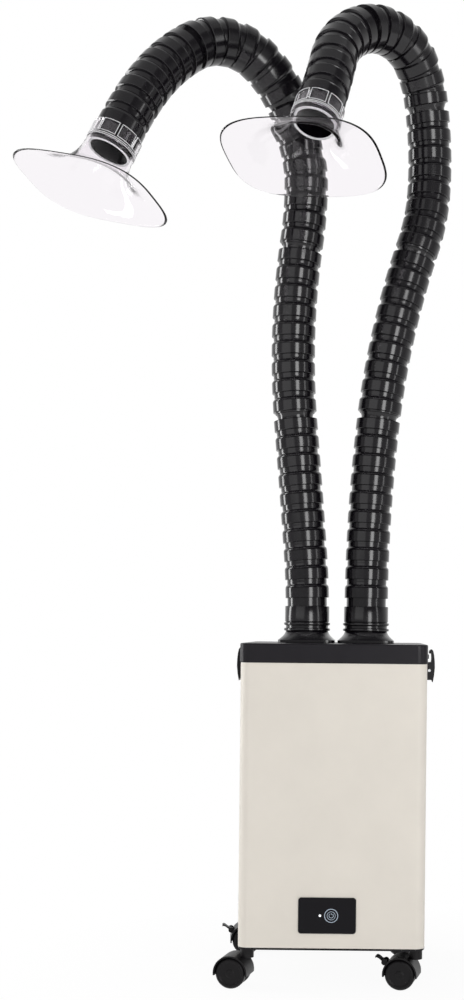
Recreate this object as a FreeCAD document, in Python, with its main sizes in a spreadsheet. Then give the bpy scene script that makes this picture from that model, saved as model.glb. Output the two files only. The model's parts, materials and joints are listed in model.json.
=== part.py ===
"""Mobile welding fume extractor: a filter cabinet on casters with two ringed suction arms.

Millimetres. The origin is the centre of the rest pad under the base tray, +Z is up and the front faces -Y.
"""
import FreeCAD
import Part
import Sketcher
import math
import os
import re

Vector = FreeCAD.Vector

SIZES = [
    # Cabinet
    ("body_width", 250, "cabinet width, left to right"),
    ("body_depth", 260, "cabinet depth, front to back"),
    ("body_corner", 13, "radius of the cabinet's upright corners"),
    ("shell_height", 379.5, "height of the sheet shell"),
    ("shell_wall", 1.2, "shell sheet thickness"),
    ("pad_width", 90, "rest pad width"),
    ("pad_depth", 90, "rest pad depth"),
    ("pad_corner", 8, "rest pad corner radius"),
    ("pad_drop", 1.5, "how far the rest pad stands below the tray"),
    ("tray_floor", 3, "tray floor thickness"),
    ("tray_inset", 1, "tray edge inside the shell's outer face"),
    ("tray_wall", 1.5, "tray upstand thickness"),
    ("tray_rise", 14, "tray upstand height"),
    ("tray_gap", 0.3, "clearance between the upstand and the shell"),
    ("cut_over", 2, "how far a cutter runs past what it cuts"),
    # Rear panel, grille and inlet
    ("rear_inset", 18, "rear panel edge inside the cabinet's side face"),
    ("rear_drop", 29.5, "rear panel top below the shell top"),
    ("rear_thickness", 1.2, "rear panel thickness"),
    ("rear_rise", 20, "rear panel bottom above the shell bottom"),
    ("rear_lap", 12, "overlap of the rear panel on the shell"),
    ("grille_inset", 32, "grille opening edge inside the rear panel's edge"),
    ("grille_height", 76, "exhaust grille opening height"),
    ("grille_rise", 103, "grille centre above the shell bottom"),
    ("grille_lap", 5, "grille flange lap on the panel"),
    ("grille_flange", 2, "grille flange thickness"),
    ("grille_depth", 8, "grille depth behind the flange"),
    ("grille_fit", 0.3, "clearance of the grille in its opening"),
    ("grille_slot", 7, "height of one grille slot"),
    ("grille_bar", 4, "height of one grille bar"),
    ("inlet_width", 28, "power inlet body width"),
    ("inlet_height", 20, "power inlet body height"),
    ("inlet_depth", 22, "power inlet body depth"),
    ("inlet_flange", 2, "power inlet flange thickness"),
    ("inlet_lap", 4, "power inlet flange lap"),
    ("inlet_wall", 1.75, "power inlet side wall"),
    ("inlet_recess", 18, "power inlet recess depth"),
    ("inlet_inset", 37, "power inlet centre from the rear panel's edge"),
    ("inlet_rise", 42, "power inlet centre above the shell bottom"),
    ("prong_width", 2, "inlet prong thickness"),
    ("prong_height", 4, "inlet prong height"),
    ("prong_length", 11, "inlet prong length"),
    ("prong_pitch", 7, "inlet prong spacing"),
    ("screw_radius", 1.5, "panel screw shank radius"),
    ("screw_length", 4.5, "panel screw shank length"),
    ("screw_head_radius", 3, "panel screw head radius"),
    ("screw_head", 1.8, "panel screw head height"),
    ("screw_gap", 0.1, "clearance of a screw in its hole"),
    ("screw_inset", 6, "screw centre from the panel edge"),
    # Control panel
    ("panel_width", 77, "control panel width"),
    ("panel_height", 48, "control panel height"),
    ("panel_corner", 4, "control panel corner radius"),
    ("panel_thickness", 1.5, "control panel thickness"),
    ("panel_side", -5.5, "control panel centre from the middle"),
    ("panel_rise", 43.8, "control panel centre above the shell bottom"),
    ("panel_lap", 8, "control panel lap on the shell round its window"),
    ("post_radius", 2.5, "control board post radius"),
    ("post_length", 7, "control board post length"),
    ("board_margin", 1, "control board edge inside the window"),
    ("board_thickness", 1.6, "control board thickness"),
    ("key_side", 5.5, "touch key centre from the panel centre"),
    ("key_radius", 9.2, "touch electrode radius"),
    ("led_side", 9.5, "status light centre from the panel centre"),
    ("led_radius", 1.5, "status light radius"),
    ("led_flange", 1, "status light flange height and lap"),
    # Deck, blower and filters
    ("deck_level", 145.5, "fan deck underside above the shell bottom"),
    ("deck_thickness", 1.5, "fan deck thickness"),
    ("deck_gap", 0.3, "clearance of the deck in the shell"),
    ("deck_hole", 46, "radius of the deck's air hole"),
    ("deck_post_radius", 5, "deck post radius"),
    ("deck_post_inset", 24, "deck post centre from the shell's outer face"),
    ("case_gap", 45, "blower case from the cabinet's side face"),
    ("case_height", 62, "blower case height"),
    ("case_wall", 2, "blower case wall"),
    ("case_eye", 44, "radius of the blower's inlet eye"),
    ("outlet_width", 60, "blower outlet width"),
    ("outlet_gap", 6, "blower outlet end short of the shell"),
    ("fan_clear", 12, "impeller edge inside the case's outer face"),
    ("fan_plate", 2, "impeller plate thickness"),
    ("fan_blade_height", 42, "impeller blade height"),
    ("fan_blade_length", 34, "impeller blade length"),
    ("fan_blade_thickness", 2, "impeller blade thickness"),
    ("fan_gap", 5, "impeller clearance above the case floor"),
    ("fan_hub_radius", 11, "impeller hub radius"),
    ("shaft_radius", 4, "motor shaft radius"),
    ("shaft_fit", 0.05, "running clearance of a shaft or pin"),
    ("motor_radius", 38, "motor radius"),
    ("motor_height", 50, "motor height"),
    ("motor_bore", 30, "depth of the shaft in the motor"),
    ("filter_gap", 3, "filter clearance to the shell inside"),
    ("filter_corner", 8, "filter corner radius"),
    ("filter_rim", 10, "filter frame width"),
    ("filter_recess", 4, "depth of a filter's face below its frame"),
    ("carbon_height", 60, "carbon filter height"),
    ("filter_headroom", 34.5, "pre-filter top below the shell top"),
    ("hepa_pleat", 12, "fine filter pleat pitch"),
    ("hepa_media", 10, "fine filter media height over a fold's crest"),
    ("mat_height", 25, "pre-filter mat height"),
    ("seal_height", 3, "filter seal height"),
    ("seal_width", 8, "filter seal width"),
    # Lid, flanges and latches
    ("lid_height", 25, "lid height"),
    ("lid_overhang", 1, "lid edge outside the shell's face"),
    ("lid_wall", 4, "lid skirt thickness"),
    ("lid_plate", 3, "lid top thickness"),
    ("lid_edge", 2, "lid top edge radius"),
    ("gasket_height", 1, "lid gasket height"),
    ("gasket_inset", 0.5, "gasket edge inside the shell's face"),
    ("gasket_width", 3.5, "gasket width"),
    ("flange_side", 42, "duct centre from the middle"),
    ("flange_half", 40, "half the side of the flange foot"),
    ("flange_foot", 4, "flange foot thickness"),
    ("flange_flare", 13, "height of the flare from foot to neck"),
    ("flange_neck", 30, "flange neck radius"),
    ("flange_ridge", 33, "flange ridge radius"),
    ("ridge_height", 4, "height of one flange ridge"),
    ("ridge_pitch", 8, "distance between the flange ridges"),
    ("cuff_radius", 31.5, "cuff outer radius"),
    ("cuff_height", 23, "cuff height above the ridges"),
    ("flange_bore", 25, "flange bore radius"),
    ("flange_screw_side", 31, "flange screw from the flange centre"),
    ("flange_screw_depth", 3, "flange screw depth in the foot"),
    ("bracket_width", 29, "latch bracket width"),
    ("bracket_height", 25, "latch bracket height"),
    ("bracket_plate", 2, "latch bracket plate thickness"),
    ("bracket_reach", 12, "latch bracket ear reach"),
    ("bracket_ear", 4, "latch bracket ear thickness"),
    ("clip_reach", 15.6, "latch clip reach from the shell side"),
    ("clip_height", 47, "latch clip height"),
    ("clip_gap", 0.4, "clip clearance between the ears"),
    ("clip_drop", 29.5, "clip bottom below the lid bottom"),
    ("latch_pin_radius", 2, "latch pin radius"),
    ("keeper_reach", 6, "lid keeper reach from the lid side"),
    ("keeper_height", 6, "lid keeper height"),
    ("keeper_rise", 4, "lid keeper bottom above the lid bottom"),
    # Casters
    ("caster_inset", 11, "caster swivel inside the cabinet's side face"),
    ("caster_setback", 30, "caster swivel inside the cabinet's front or back face"),
    ("caster_drop", 57, "floor below the tray underside"),
    ("caster_trail", 19, "axle behind the swivel"),
    ("stem_radius", 4, "caster stem radius"),
    ("stem_flange_radius", 12, "caster stem flange radius"),
    ("stem_flange", 3, "caster stem flange height"),
    ("stem_pin", 12, "caster stem length in the fork"),
    ("stem_thread", 10, "caster stem length above the tray floor"),
    ("nut_radius", 7.5, "stem nut radius over its corners"),
    ("nut_height", 6.5, "stem nut height"),
    ("hub_radius", 9, "fork hub radius"),
    ("hub_gap", 0.3, "gap between the fork hub and the stem flange"),
    ("hub_height", 13, "fork hub height"),
    ("wheel_radius", 20.5, "wheel radius"),
    ("wheel_width", 13, "width of one wheel"),
    ("wheel_round", 2.5, "wheel tread edge chamfer"),
    ("wheel_dish", 1.2, "depth of the wheel's dished face"),
    ("wheel_gap", 0.5, "gap between a wheel and the fork web"),
    ("wheel_cap", 3, "closed thickness over the axle end"),
    ("axle_radius", 3, "axle radius"),
    ("web_width", 9, "fork web width"),
    ("web_boss", 7, "fork boss radius round the axle"),
    ("fender_gap", 1.2, "gap between the wheels and the fender"),
    ("fender_wall", 2, "fender thickness"),
    ("lever_width", 11, "brake lever width"),
    ("lever_reach", 13, "brake lever reach past its pivot"),
    ("lever_thickness", 2.4, "brake lever thickness"),
    ("lever_boss", 2.6, "brake lever boss radius"),
    ("lever_gap", 0.4, "brake lever clearance"),
    ("lever_pin", 1.4, "brake lever trunnion radius"),
    ("ear_thickness", 2.5, "brake lever ear thickness"),
    # Ringed arms
    ("ring_pitch", 26, "distance from ring to ring on a straight run"),
    ("skirt_radius", 31, "ring skirt radius"),
    ("bead_radius", 28, "radius of the bead between two skirts"),
    ("ring_step", 0.3, "axial run of the step between skirt and bead"),
    ("duct_bore", 26, "bore radius inside the rings"),
    ("ball_radius", 28, "ball radius where two sections meet"),
    ("ball_front", 8, "ball length past its centre"),
    ("neck_radius", 25, "neck radius behind the ball"),
    ("neck_bore", 23, "bore radius through the ball"),
    ("socket_gap", 0.45, "clearance between ball and socket"),
    ("socket_lip", 6, "socket length past the ball centre"),
    ("spigot_radius", 27.2, "duct radius inside the cuff"),
    ("spigot_depth", 14, "duct length inside the cuff"),
    ("spigot_gap", 0.3, "clearance of the duct in the cuff and the hood"),
    # Hoods
    ("tip_radius", 28.6, "duct end radius inside the hood collar"),
    ("tip_length", 28, "duct end length inside the hood collar"),
    ("collar_radius", 32.5, "hood collar outer radius"),
    ("collar_height", 30, "hood collar height"),
    ("collar_slot", 3, "width of a slot between collar tabs"),
    ("collar_slot_depth", 18.5, "depth of a collar slot"),
    ("rim_long", 214, "hood rim length"),
    ("rim_short", 143, "hood rim width"),
    ("hood_depth", 54, "hood depth from collar to rim"),
    ("hood_wall", 2.2, "hood wall"),
]

# Each arm from the cuff to the hood: rings, share of the ring pitch,
# degrees of side tilt and of forward tilt per ring
LEFT_RUN_SHARES = [
    (3, 1.02, -1.5, 0),
    (7, 1.02, -0.1, 0),
    (10, 1.02, 1.3, 0.1),
    (3, 1.0, -2.5, 2.3),
    (5, 1.0, -6.6, 3.1),
    (2, 1.0, -10, 1),
    (4, 1.0, -20.6, 2.1),
    (1, 1.0, -6, 0),
    (3, 1.0, -4.1, -2.9),
    (3, 1.0, -1.2, -4.6),
]
RIGHT_RUN_SHARES = [
    (10, 1.02, 0.6, 0),
    (10, 1.02, 1.2, -0.2),
    (3, 1.0, -4.8, 0.1),
    (5, 1.0, -2.6, 3.6),
    (2, 1.0, -10.9, 10.7),
    (4, 1.0, -23, 1.5),
    (1, 1.0, -11.5, -4.3),
    (3, 1.0, -12.3, -2.6),
    (3, 1.0, 2, -3.8),
]
# Rings in each of the five sections of an arm, and the part of a ring that is skirt
SECTION_RINGS = [10, 9, 8, 7, 7]
SKIRT_SHARE = 0.55
# Cones that stand for a ball or a socket
BALL_FACETS = 9

# Hood flare: share of the depth, share of the growth from collar to rim, squareness of the outline
HOOD_FLARE_SHARES = [
    (0.0, 0.0, 2.0),
    (0.22, 0.03, 2.0),
    (0.42, 0.09, 2.05),
    (0.58, 0.18, 2.15),
    (0.72, 0.32, 2.3),
    (0.83, 0.5, 2.5),
    (0.92, 0.72, 2.8),
    (1.0, 1.0, 3.1),
]
HOOD_ROLL = {"left": 27, "right": 22}
COLLAR_TABS = 8

# Flange flare: share of the height, share of the shrink from foot to neck, squareness
FLANGE_FLARE_SHARES = [
    (0.0, 0.0, 7.0),
    (0.2, 0.30, 5.0),
    (0.45, 0.62, 3.4),
    (0.7, 0.85, 2.5),
    (1.0, 1.0, 2.0),
]
OUTLINE_POINTS = 48

# Latch clip outline: share of its reach from the shell side, share of its height from the tail
CLIP_SHARES = [
    (0.82, 0.0), (0.93, 0.20), (1.0, 0.45), (0.98, 0.65), (0.92, 0.83), (0.84, 0.95), (0.72, 1.0),
    (0.58, 0.98),
    (0.49, 0.93), (0.50, 0.875), (0.57, 0.865), (0.64, 0.90), (0.69, 0.83), (0.70, 0.70), (0.66, 0.60),
    (0.40, 0.58),
    (0.26, 0.50), (0.22, 0.36), (0.30, 0.24), (0.45, 0.19), (0.70, 0.19), (0.76, 0.02),
]
CLIP_PIVOT_SHARES = (0.48, 0.36)

# Brake lever outline: share of its reach away from the pivot, share of its reach upwards
LEVER_SHARES = [(0.0, 0.0), (0.35, 0.10), (0.62, 0.32), (0.85, 0.42), (1.0, 0.36)]

# Casters: side, back, yaw in degrees, and whether the caster has a brake
CASTERS = {
    "front_left": (-1, -1, -12, False),
    "front_right": (1, -1, -12, True),
    "rear_left": (-1, 1, 6, True),
    "rear_right": (1, 1, 14, False),
}
FENDER_SWEEP = 196
LEVER_BEARING = 148
FAN_BLADES = 11
FAN_BLADE_TURN = 35
REAR_SCREW_SHARES = (0.0, 0.5, 1.0)

NAMES = {alias for alias, value, words in SIZES}

# Heights of the main seams, as expressions on the sheet
SHELL_Z = "(pad_drop + tray_floor)"
SHELL_TOP = SHELL_Z + " + shell_height"
REAR_WIDTH = "(body_width - 2 * rear_inset)"
REAR_HEIGHT = "(shell_height - rear_rise - rear_drop)"
GRILLE_WIDTH = "(body_width - 2 * (rear_inset + grille_inset))"
INLET_X = "-(body_width / 2 - rear_inset - inlet_inset)"
CASE_RADIUS = "(body_width / 2 - case_gap)"
FAN_RADIUS = "(body_width / 2 - case_gap - fan_clear)"
CASTER_SIDE = "(body_width / 2 - caster_inset)"
CASTER_BACK = "(body_depth / 2 - caster_setback)"
FILTER_STACK = "(deck_level + deck_thickness + seal_height + carbon_height + mat_height)"
HEPA_HEIGHT = "(shell_height - filter_headroom - %s)" % FILTER_STACK
LID_Z = SHELL_TOP + " + gasket_height"
LID_TOP = LID_Z + " + lid_height"
DECK_Z = SHELL_Z + " + deck_level"
DECK_TOP = DECK_Z + " + deck_thickness"
CASE_Z = DECK_Z + " - case_height"
SEAL_TOP = DECK_TOP + " + seal_height"
CARBON_TOP = SEAL_TOP + " + carbon_height"
HEPA_TOP = CARBON_TOP + " + " + HEPA_HEIGHT
CUFF_TOP = LID_TOP + " + flange_foot + flange_flare + ridge_pitch + ridge_height + cuff_height"

doc = FreeCAD.newDocument("FumeExtractor")
sheet = doc.addObject("Spreadsheet::Sheet", "Sizes")
for row, (alias, value, words) in enumerate(SIZES, 1):
    sheet.set("A%d" % row, words)
    sheet.set("B%d" % row, str(value))
    sheet.setAlias("B%d" % row, alias)
doc.recompute()

parts = []


def linked(text):
    """The expression with each size name pointed at the sheet."""
    return re.sub(r"[a-z_]+", lambda word: "Sizes." + word.group() if word.group() in NAMES else word.group(),
                  text)


def size(text):
    """The value of an expression on the sheet."""
    return float(sheet.evalExpression(text))


def bind(obj, prop, text):
    obj.setExpression(prop, linked(text))


def place(obj, x="0", y="0", z="0", turn=None):
    """Bind an object's place to the sheet, with an optional (axis, degrees) turn."""
    if turn:
        obj.Placement = FreeCAD.Placement(Vector(0, 0, 0), FreeCAD.Rotation(Vector(*turn[0]), turn[1]))
    for axis, text in zip("xyz", (x, y, z)):
        if text != "0":
            bind(obj, "Placement.Base." + axis, text)
    return obj


def part(obj, label):
    """Mark an object as a finished piece: its label names its file."""
    obj.Label = label
    parts.append(obj)
    return obj


def block(name, length, width, height, x="0", y="0", z="0"):
    """A box centred on x and y, standing on z."""
    obj = doc.addObject("Part::Box", name)
    bind(obj, "Length", length)
    bind(obj, "Width", width)
    bind(obj, "Height", height)
    return place(obj, "(%s) - (%s) / 2" % (x, length), "(%s) - (%s) / 2" % (y, width), z)


ALONG = {"z": None, "y": ((1, 0, 0), -90), "x": ((0, 1, 0), 90)}


def rod(name, radius, height, x="0", y="0", z="0", along="z"):
    """A cylinder that starts at the given point and runs along an axis."""
    obj = doc.addObject("Part::Cylinder", name)
    bind(obj, "Radius", radius)
    bind(obj, "Height", height)
    return place(obj, x, y, z, ALONG[along])


def cut(name, base, *tools):
    obj = doc.addObject("Part::Cut", name)
    obj.Base = base
    obj.Tool = tools[0] if len(tools) == 1 else compound(name + "_tools", *tools)
    return obj


def fuse(name, *shapes):
    obj = doc.addObject("Part::MultiFuse", name)
    obj.Shapes = list(shapes)
    return obj


def compound(name, *shapes):
    obj = doc.addObject("Part::Compound", name)
    obj.Links = list(shapes)
    return obj


def new_sketch(name, plane):
    """A body with an empty sketch on one of its own origin planes."""
    body = doc.addObject("PartDesign::Body", name)
    sketch = body.newObject("Sketcher::SketchObject", name + "_sketch")
    support = [feature for feature in body.Origin.OriginFeatures if feature.Role == plane][0]
    sketch.AttachmentSupport = [(support, "")]
    sketch.MapMode = "FlatFace"
    return body, sketch


def hold(sketch, kind, text, *where):
    """Add a dimension to a sketch and bind it to the sheet."""
    index = sketch.addConstraint(Sketcher.Constraint(kind, *where, size(text)))
    sketch.setExpression("Constraints[%d]" % index, linked(text))


def pad(body, sketch, name, length, middle=False):
    feature = body.newObject("PartDesign::Pad", name + "_pad")
    feature.Profile = sketch
    bind(feature, "Length", length)
    feature.Midplane = middle
    return feature


def slab(name, width, depth, corner, height, x="0", y="0", z="0", turn=None, edge=None):
    """A padded rounded rectangle, centred on x and y, with an optional rounded top edge."""
    body, sketch = new_sketch(name, "XY_Plane")
    middle_x = "((%s) / 2 - (%s))" % (width, corner)
    middle_y = "((%s) / 2 - (%s))" % (depth, corner)
    half_x, half_y, radius = size(middle_x), size(middle_y), size(corner)
    signs = [(1, 1), (-1, 1), (-1, -1), (1, -1)]
    arcs, sides = [], []
    for turn_count, (sx, sy) in enumerate(signs):
        start = turn_count * math.pi / 2
        ring = Part.Circle(Vector(sx * half_x, sy * half_y, 0), Vector(0, 0, 1), radius)
        arcs.append(sketch.addGeometry(Part.ArcOfCircle(ring, start, start + math.pi / 2)))
    for index in range(4):
        first = sketch.Geometry[arcs[index]].EndPoint
        last = sketch.Geometry[arcs[(index + 1) % 4]].StartPoint
        sides.append(sketch.addGeometry(Part.LineSegment(first, last)))
    for index in range(4):
        sketch.addConstraint(Sketcher.Constraint("Tangent", arcs[index], 2, sides[index], 1))
        sketch.addConstraint(Sketcher.Constraint("Tangent", sides[index], 2, arcs[(index + 1) % 4], 1))
        if index:
            sketch.addConstraint(Sketcher.Constraint("Equal", arcs[0], arcs[index]))
    hold(sketch, "Radius", corner, arcs[0])
    for arc, (sx, sy) in zip(arcs, signs):
        hold(sketch, "DistanceX", "%d * %s" % (sx, middle_x), -1, 1, arc, 3)
        hold(sketch, "DistanceY", "%d * %s" % (sy, middle_y), -1, 1, arc, 3)
    feature = pad(body, sketch, name, height)
    if edge:
        doc.recompute()
        top = feature.Shape.BoundBox.ZMax
        edges = ["Edge%d" % number for number, line in enumerate(feature.Shape.Edges, 1)
                 if line.BoundBox.ZMin > top - size(edge) / 2]
        rounding = body.newObject("PartDesign::Fillet", name + "_edge")
        rounding.Base = (feature, edges)
        bind(rounding, "Radius", edge)
    return place(body, x, y, z, turn)


def outline(name, plane, points):
    """A body with a closed polygon whose corners are bound to the sheet."""
    body, sketch = new_sketch(name, plane)
    spots = [Vector(size(px), size(py), 0) for px, py in points]
    count = len(spots)
    for index in range(count):
        sketch.addGeometry(Part.LineSegment(spots[index], spots[(index + 1) % count]))
    for index in range(count):
        sketch.addConstraint(Sketcher.Constraint("Coincident", index, 2, (index + 1) % count, 1))
    for index, (px, py) in enumerate(points):
        hold(sketch, "DistanceX", px, -1, 1, index, 1)
        hold(sketch, "DistanceY", py, -1, 1, index, 1)
    return body, sketch


def prism(name, points, width, x="0", y="0", z="0"):
    """A polygon in the XZ plane, padded both ways along Y."""
    body, sketch = outline(name, "XZ_Plane", points)
    pad(body, sketch, name, width, middle=True)
    return place(body, x, y, z)


def turned(name, points, x="0", y="0", z="0", turn=None):
    """A profile of (radius, height) points turned about its own Z axis."""
    body, sketch = outline(name, "XZ_Plane", points)
    feature = body.newObject("PartDesign::Revolution", name + "_turn")
    feature.Profile = sketch
    feature.ReferenceAxis = (sketch, ["V_Axis"])
    return place(body, x, y, z, turn)


def frame_ring(name, width, depth, corner, band, height, z):
    """A rounded rectangular ring of one band width."""
    outer = slab(name + "_outer", width, depth, corner, height, z=z)
    inner = slab(name + "_inner", "%s - 2 * (%s)" % (width, band), "%s - 2 * (%s)" % (depth, band),
                 "max(%s - (%s); cut_over / 2)" % (corner, band), height + " + 2 * cut_over",
                 z=z + " - cut_over")
    return cut(name, outer, inner)


def corners(side, back):
    """The four corner places of a rectangle, as expressions."""
    return [("%d * %s" % (sx, side), "%d * %s" % (sy, back)) for sx in (-1, 1) for sy in (-1, 1)]


def loose_shape(label, shape):
    """A piece whose shape comes straight from Part's own functions."""
    obj = doc.addObject("Part::Feature", label)
    obj.Shape = shape
    obj.Placement = FreeCAD.Placement()
    return part(obj, label)


def shell_solid(outer, inner):
    """A tube wall as one solid: two ruled lofts and the two flat rings that close them."""
    faces = Part.makeLoft(outer, False, True).Faces + Part.makeLoft(inner, False, True).Faces
    faces += [Part.makeFace([outer[end], inner[end]], "Part::FaceMakerBullseye") for end in (0, -1)]
    skin = Part.makeCompound(faces)
    skin.sewShape()
    solid = Part.makeSolid(skin if skin.ShapeType == "Shell" else skin.Shells[0])
    if solid.Volume < 0:
        solid.reverse()
    return solid


# Cabinet


def base_tray():
    """Floor plate with the rest pad below, an upstand inside the shell and four stem holes."""
    plate = slab("tray_plate", "body_width - 2 * tray_inset", "body_depth - 2 * tray_inset",
                 "body_corner - tray_inset", "tray_floor", z="pad_drop")
    rest = slab("tray_pad", "pad_width", "pad_depth", "pad_corner", "pad_drop")
    upstand = frame_ring("tray_upstand", "(body_width - 2 * (shell_wall + tray_gap))",
                         "(body_depth - 2 * (shell_wall + tray_gap))",
                         "(body_corner - shell_wall - tray_gap)",
                         "tray_wall", "tray_rise", SHELL_Z)
    holes = [rod("tray_hole_%d" % index, "stem_radius + shaft_fit", "tray_floor + 2 * cut_over", x, y,
                 "pad_drop - cut_over") for index, (x, y) in enumerate(corners(CASTER_SIDE, CASTER_BACK))]
    part(cut("tray", fuse("tray_sheet", plate, rest, upstand), *holes), "base_tray")


def rear_screw_places():
    """Screw places on the rear panel, as (x, z) expressions."""
    rise = "(" + SHELL_Z + " + rear_rise + screw_inset)"
    span = "(%s - 2 * screw_inset)" % REAR_HEIGHT
    return [("%d * (%s / 2 - screw_inset)" % (side, REAR_WIDTH), "%s + %s * %s" % (rise, share, span))
            for side in (-1, 1) for share in REAR_SCREW_SHARES]


def rear_holes(name):
    """Cutters for the rear panel's screws."""
    return [rod("%s_hole_%d" % (name, index), "screw_radius + screw_gap", "rear_lap + 2 * cut_over", x,
                "body_depth / 2 - rear_lap / 2", z, "y") for index, (x, z) in enumerate(rear_screw_places())]


def cabinet_shell():
    """Folded sheet wrap with a rear window and a window behind the control panel."""
    wrap = frame_ring("shell_wrap", "body_width", "body_depth", "body_corner", "shell_wall", "shell_height",
                      SHELL_Z)
    rear = block("shell_rear", REAR_WIDTH + " - 2 * rear_lap", "body_corner", REAR_HEIGHT + " - 2 * rear_lap",
                 y="body_depth / 2", z=SHELL_Z + " + rear_rise + rear_lap")
    front = block("shell_front", "panel_width - 2 * panel_lap", "body_corner", "panel_height - 2 * panel_lap",
                  "panel_side", "-body_depth / 2", SHELL_Z + " + panel_rise - panel_height / 2 + panel_lap")
    part(cut("shell", wrap, rear, front, *rear_holes("shell")), "cabinet_shell")


REAR_Y = "body_depth / 2 + rear_thickness"


def rear_panel():
    """Sheet over the rear window, with openings for the grille and the power inlet."""
    sheet_plate = block("rear_sheet", REAR_WIDTH, "rear_thickness", REAR_HEIGHT,
                        y="body_depth / 2 + rear_thickness / 2", z=SHELL_Z + " + rear_rise")
    grille = block("rear_grille_cut", GRILLE_WIDTH, "rear_thickness + 2 * cut_over", "grille_height",
                   y="body_depth / 2 + rear_thickness / 2", z=SHELL_Z + " + grille_rise - grille_height / 2")
    inlet = block("rear_inlet_cut", "inlet_width + 2 * grille_fit", "rear_thickness + 2 * cut_over",
                  "inlet_height + 2 * grille_fit", INLET_X, "body_depth / 2 + rear_thickness / 2",
                  SHELL_Z + " + inlet_rise - inlet_height / 2 - grille_fit")
    part(cut("rear", sheet_plate, grille, inlet, *rear_holes("rear")), "rear_panel")


def exhaust_grille():
    """Moulded grille: a flange on the rear panel, a frame in its opening and level slots."""
    middle = SHELL_Z + " + grille_rise"
    flange = block("grille_flange_plate", GRILLE_WIDTH + " + 2 * grille_lap", "grille_flange",
                   "grille_height + 2 * grille_lap", y=REAR_Y + " + grille_flange / 2",
                   z=middle + " - grille_height / 2 - grille_lap")
    body = block("grille_body", GRILLE_WIDTH + " - 2 * grille_fit", "grille_depth",
                 "grille_height - 2 * grille_fit",
                 y=REAR_Y + " - grille_depth / 2", z=middle + " - grille_height / 2 + grille_fit")
    pitch = "(grille_slot + grille_bar)"
    count = int(size("(grille_height - grille_bar) / " + pitch))
    slots = [block("grille_slot_%d" % index, GRILLE_WIDTH + " - 4 * grille_bar",
                   "grille_depth + grille_flange + 2 * cut_over", "grille_slot",
                   y=REAR_Y + " - grille_depth / 2",
                   z="%s + (%s) * %s - grille_slot / 2" % (middle, index - (count - 1) / 2, pitch))
             for index in range(count)]
    part(cut("grille", fuse("grille_solid", flange, body), *slots), "exhaust_grille")


def power_inlet():
    """Appliance inlet: flange, recessed body and three prongs on the recess floor."""
    middle = SHELL_Z + " + inlet_rise"
    flange = block("inlet_plate", "inlet_width + 2 * inlet_lap", "inlet_flange",
                   "inlet_height + 2 * inlet_lap",
                   INLET_X, REAR_Y + " + inlet_flange / 2", middle + " - inlet_height / 2 - inlet_lap")
    body = block("inlet_body", "inlet_width", "inlet_depth", "inlet_height", INLET_X,
                 REAR_Y + " - inlet_depth / 2", middle + " - inlet_height / 2")
    mouth = REAR_Y + " + inlet_flange"
    recess = block("inlet_recess_cut", "inlet_width - 2 * inlet_wall", "inlet_recess + cut_over",
                   "inlet_height - 2 * inlet_wall", INLET_X, mouth + " - (inlet_recess - cut_over) / 2",
                   middle + " - inlet_height / 2 + inlet_wall")
    prongs = [block("inlet_prong_%d" % index, "prong_width", "prong_length + cut_over", "prong_height",
                    INLET_X + " + %d * prong_pitch" % index,
                    mouth + " - inlet_recess + (prong_length - cut_over) / 2",
                    middle + " - prong_height / 2 + %d * prong_width" % (1 - abs(index)))
              for index in (-1, 0, 1)]
    hollow = cut("inlet_hollow", fuse("inlet_solid", flange, body), recess)
    part(fuse("inlet", hollow, *prongs), "power_inlet")


def panel_screws():
    """Pan head screws round the rear panel, as one group."""
    screws = []
    for index, (x, z) in enumerate(rear_screw_places()):
        head = rod("rear_head_%d" % index, "screw_head_radius", "screw_head", x, REAR_Y, z, "y")
        shank = rod("rear_shank_%d" % index, "screw_radius", "screw_length + cut_over / 2", x,
                    REAR_Y + " - screw_length", z, "y")
        screws.append(fuse("rear_screw_%d" % index, head, shank))
    part(compound("rear_screws", *screws), "panel_screws")


def control_unit():
    """Front panel with its posts, the board behind it, the touch electrode and the status light."""
    face = "-body_depth / 2"
    middle = SHELL_Z + " + panel_rise"
    inner = face + " + post_length"
    plate = slab("panel_plate", "panel_width", "panel_height", "panel_corner", "panel_thickness",
                 "panel_side", face,
                 middle, ((1, 0, 0), 90))
    width = "(panel_width - 2 * panel_lap - 2 * board_margin)"
    height = "(panel_height - 2 * panel_lap - 2 * board_margin)"
    posts = [rod("panel_post_%d_%d" % (sx, sz), "post_radius", "post_length + panel_thickness / 2",
                 "panel_side + %d * (%s / 2 - post_radius)" % (sx, width), face + " - panel_thickness / 2",
                 "%s + %d * (%s / 2 - post_radius)" % (middle, sz, height), "y") for sx in (-1, 1)
             for sz in (-1, 1)]
    light_x = "panel_side - led_side"
    hole = rod("panel_led_hole", "led_radius + screw_gap", "panel_thickness + 2 * cut_over", light_x,
               face + " - panel_thickness - cut_over", middle, "y")
    part(cut("panel", fuse("panel_solid", plate, *posts), hole), "control_panel")
    part(block("board", width, "board_thickness", height, "panel_side", inner + " + board_thickness / 2",
               middle + " - %s / 2" % height), "control_board")
    part(rod("electrode", "key_radius", "post_length", "panel_side + key_side", face, middle, "y"),
         "touch_electrode")
    lens = rod("led_lens", "led_radius", "post_length + panel_thickness", light_x,
               face + " - panel_thickness", middle,
               "y")
    flange = rod("led_foot", "led_radius + led_flange", "led_flange", light_x, inner + " - led_flange",
                 middle, "y")
    part(fuse("led", lens, flange), "status_led")


# Deck, blower and filters


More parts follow.
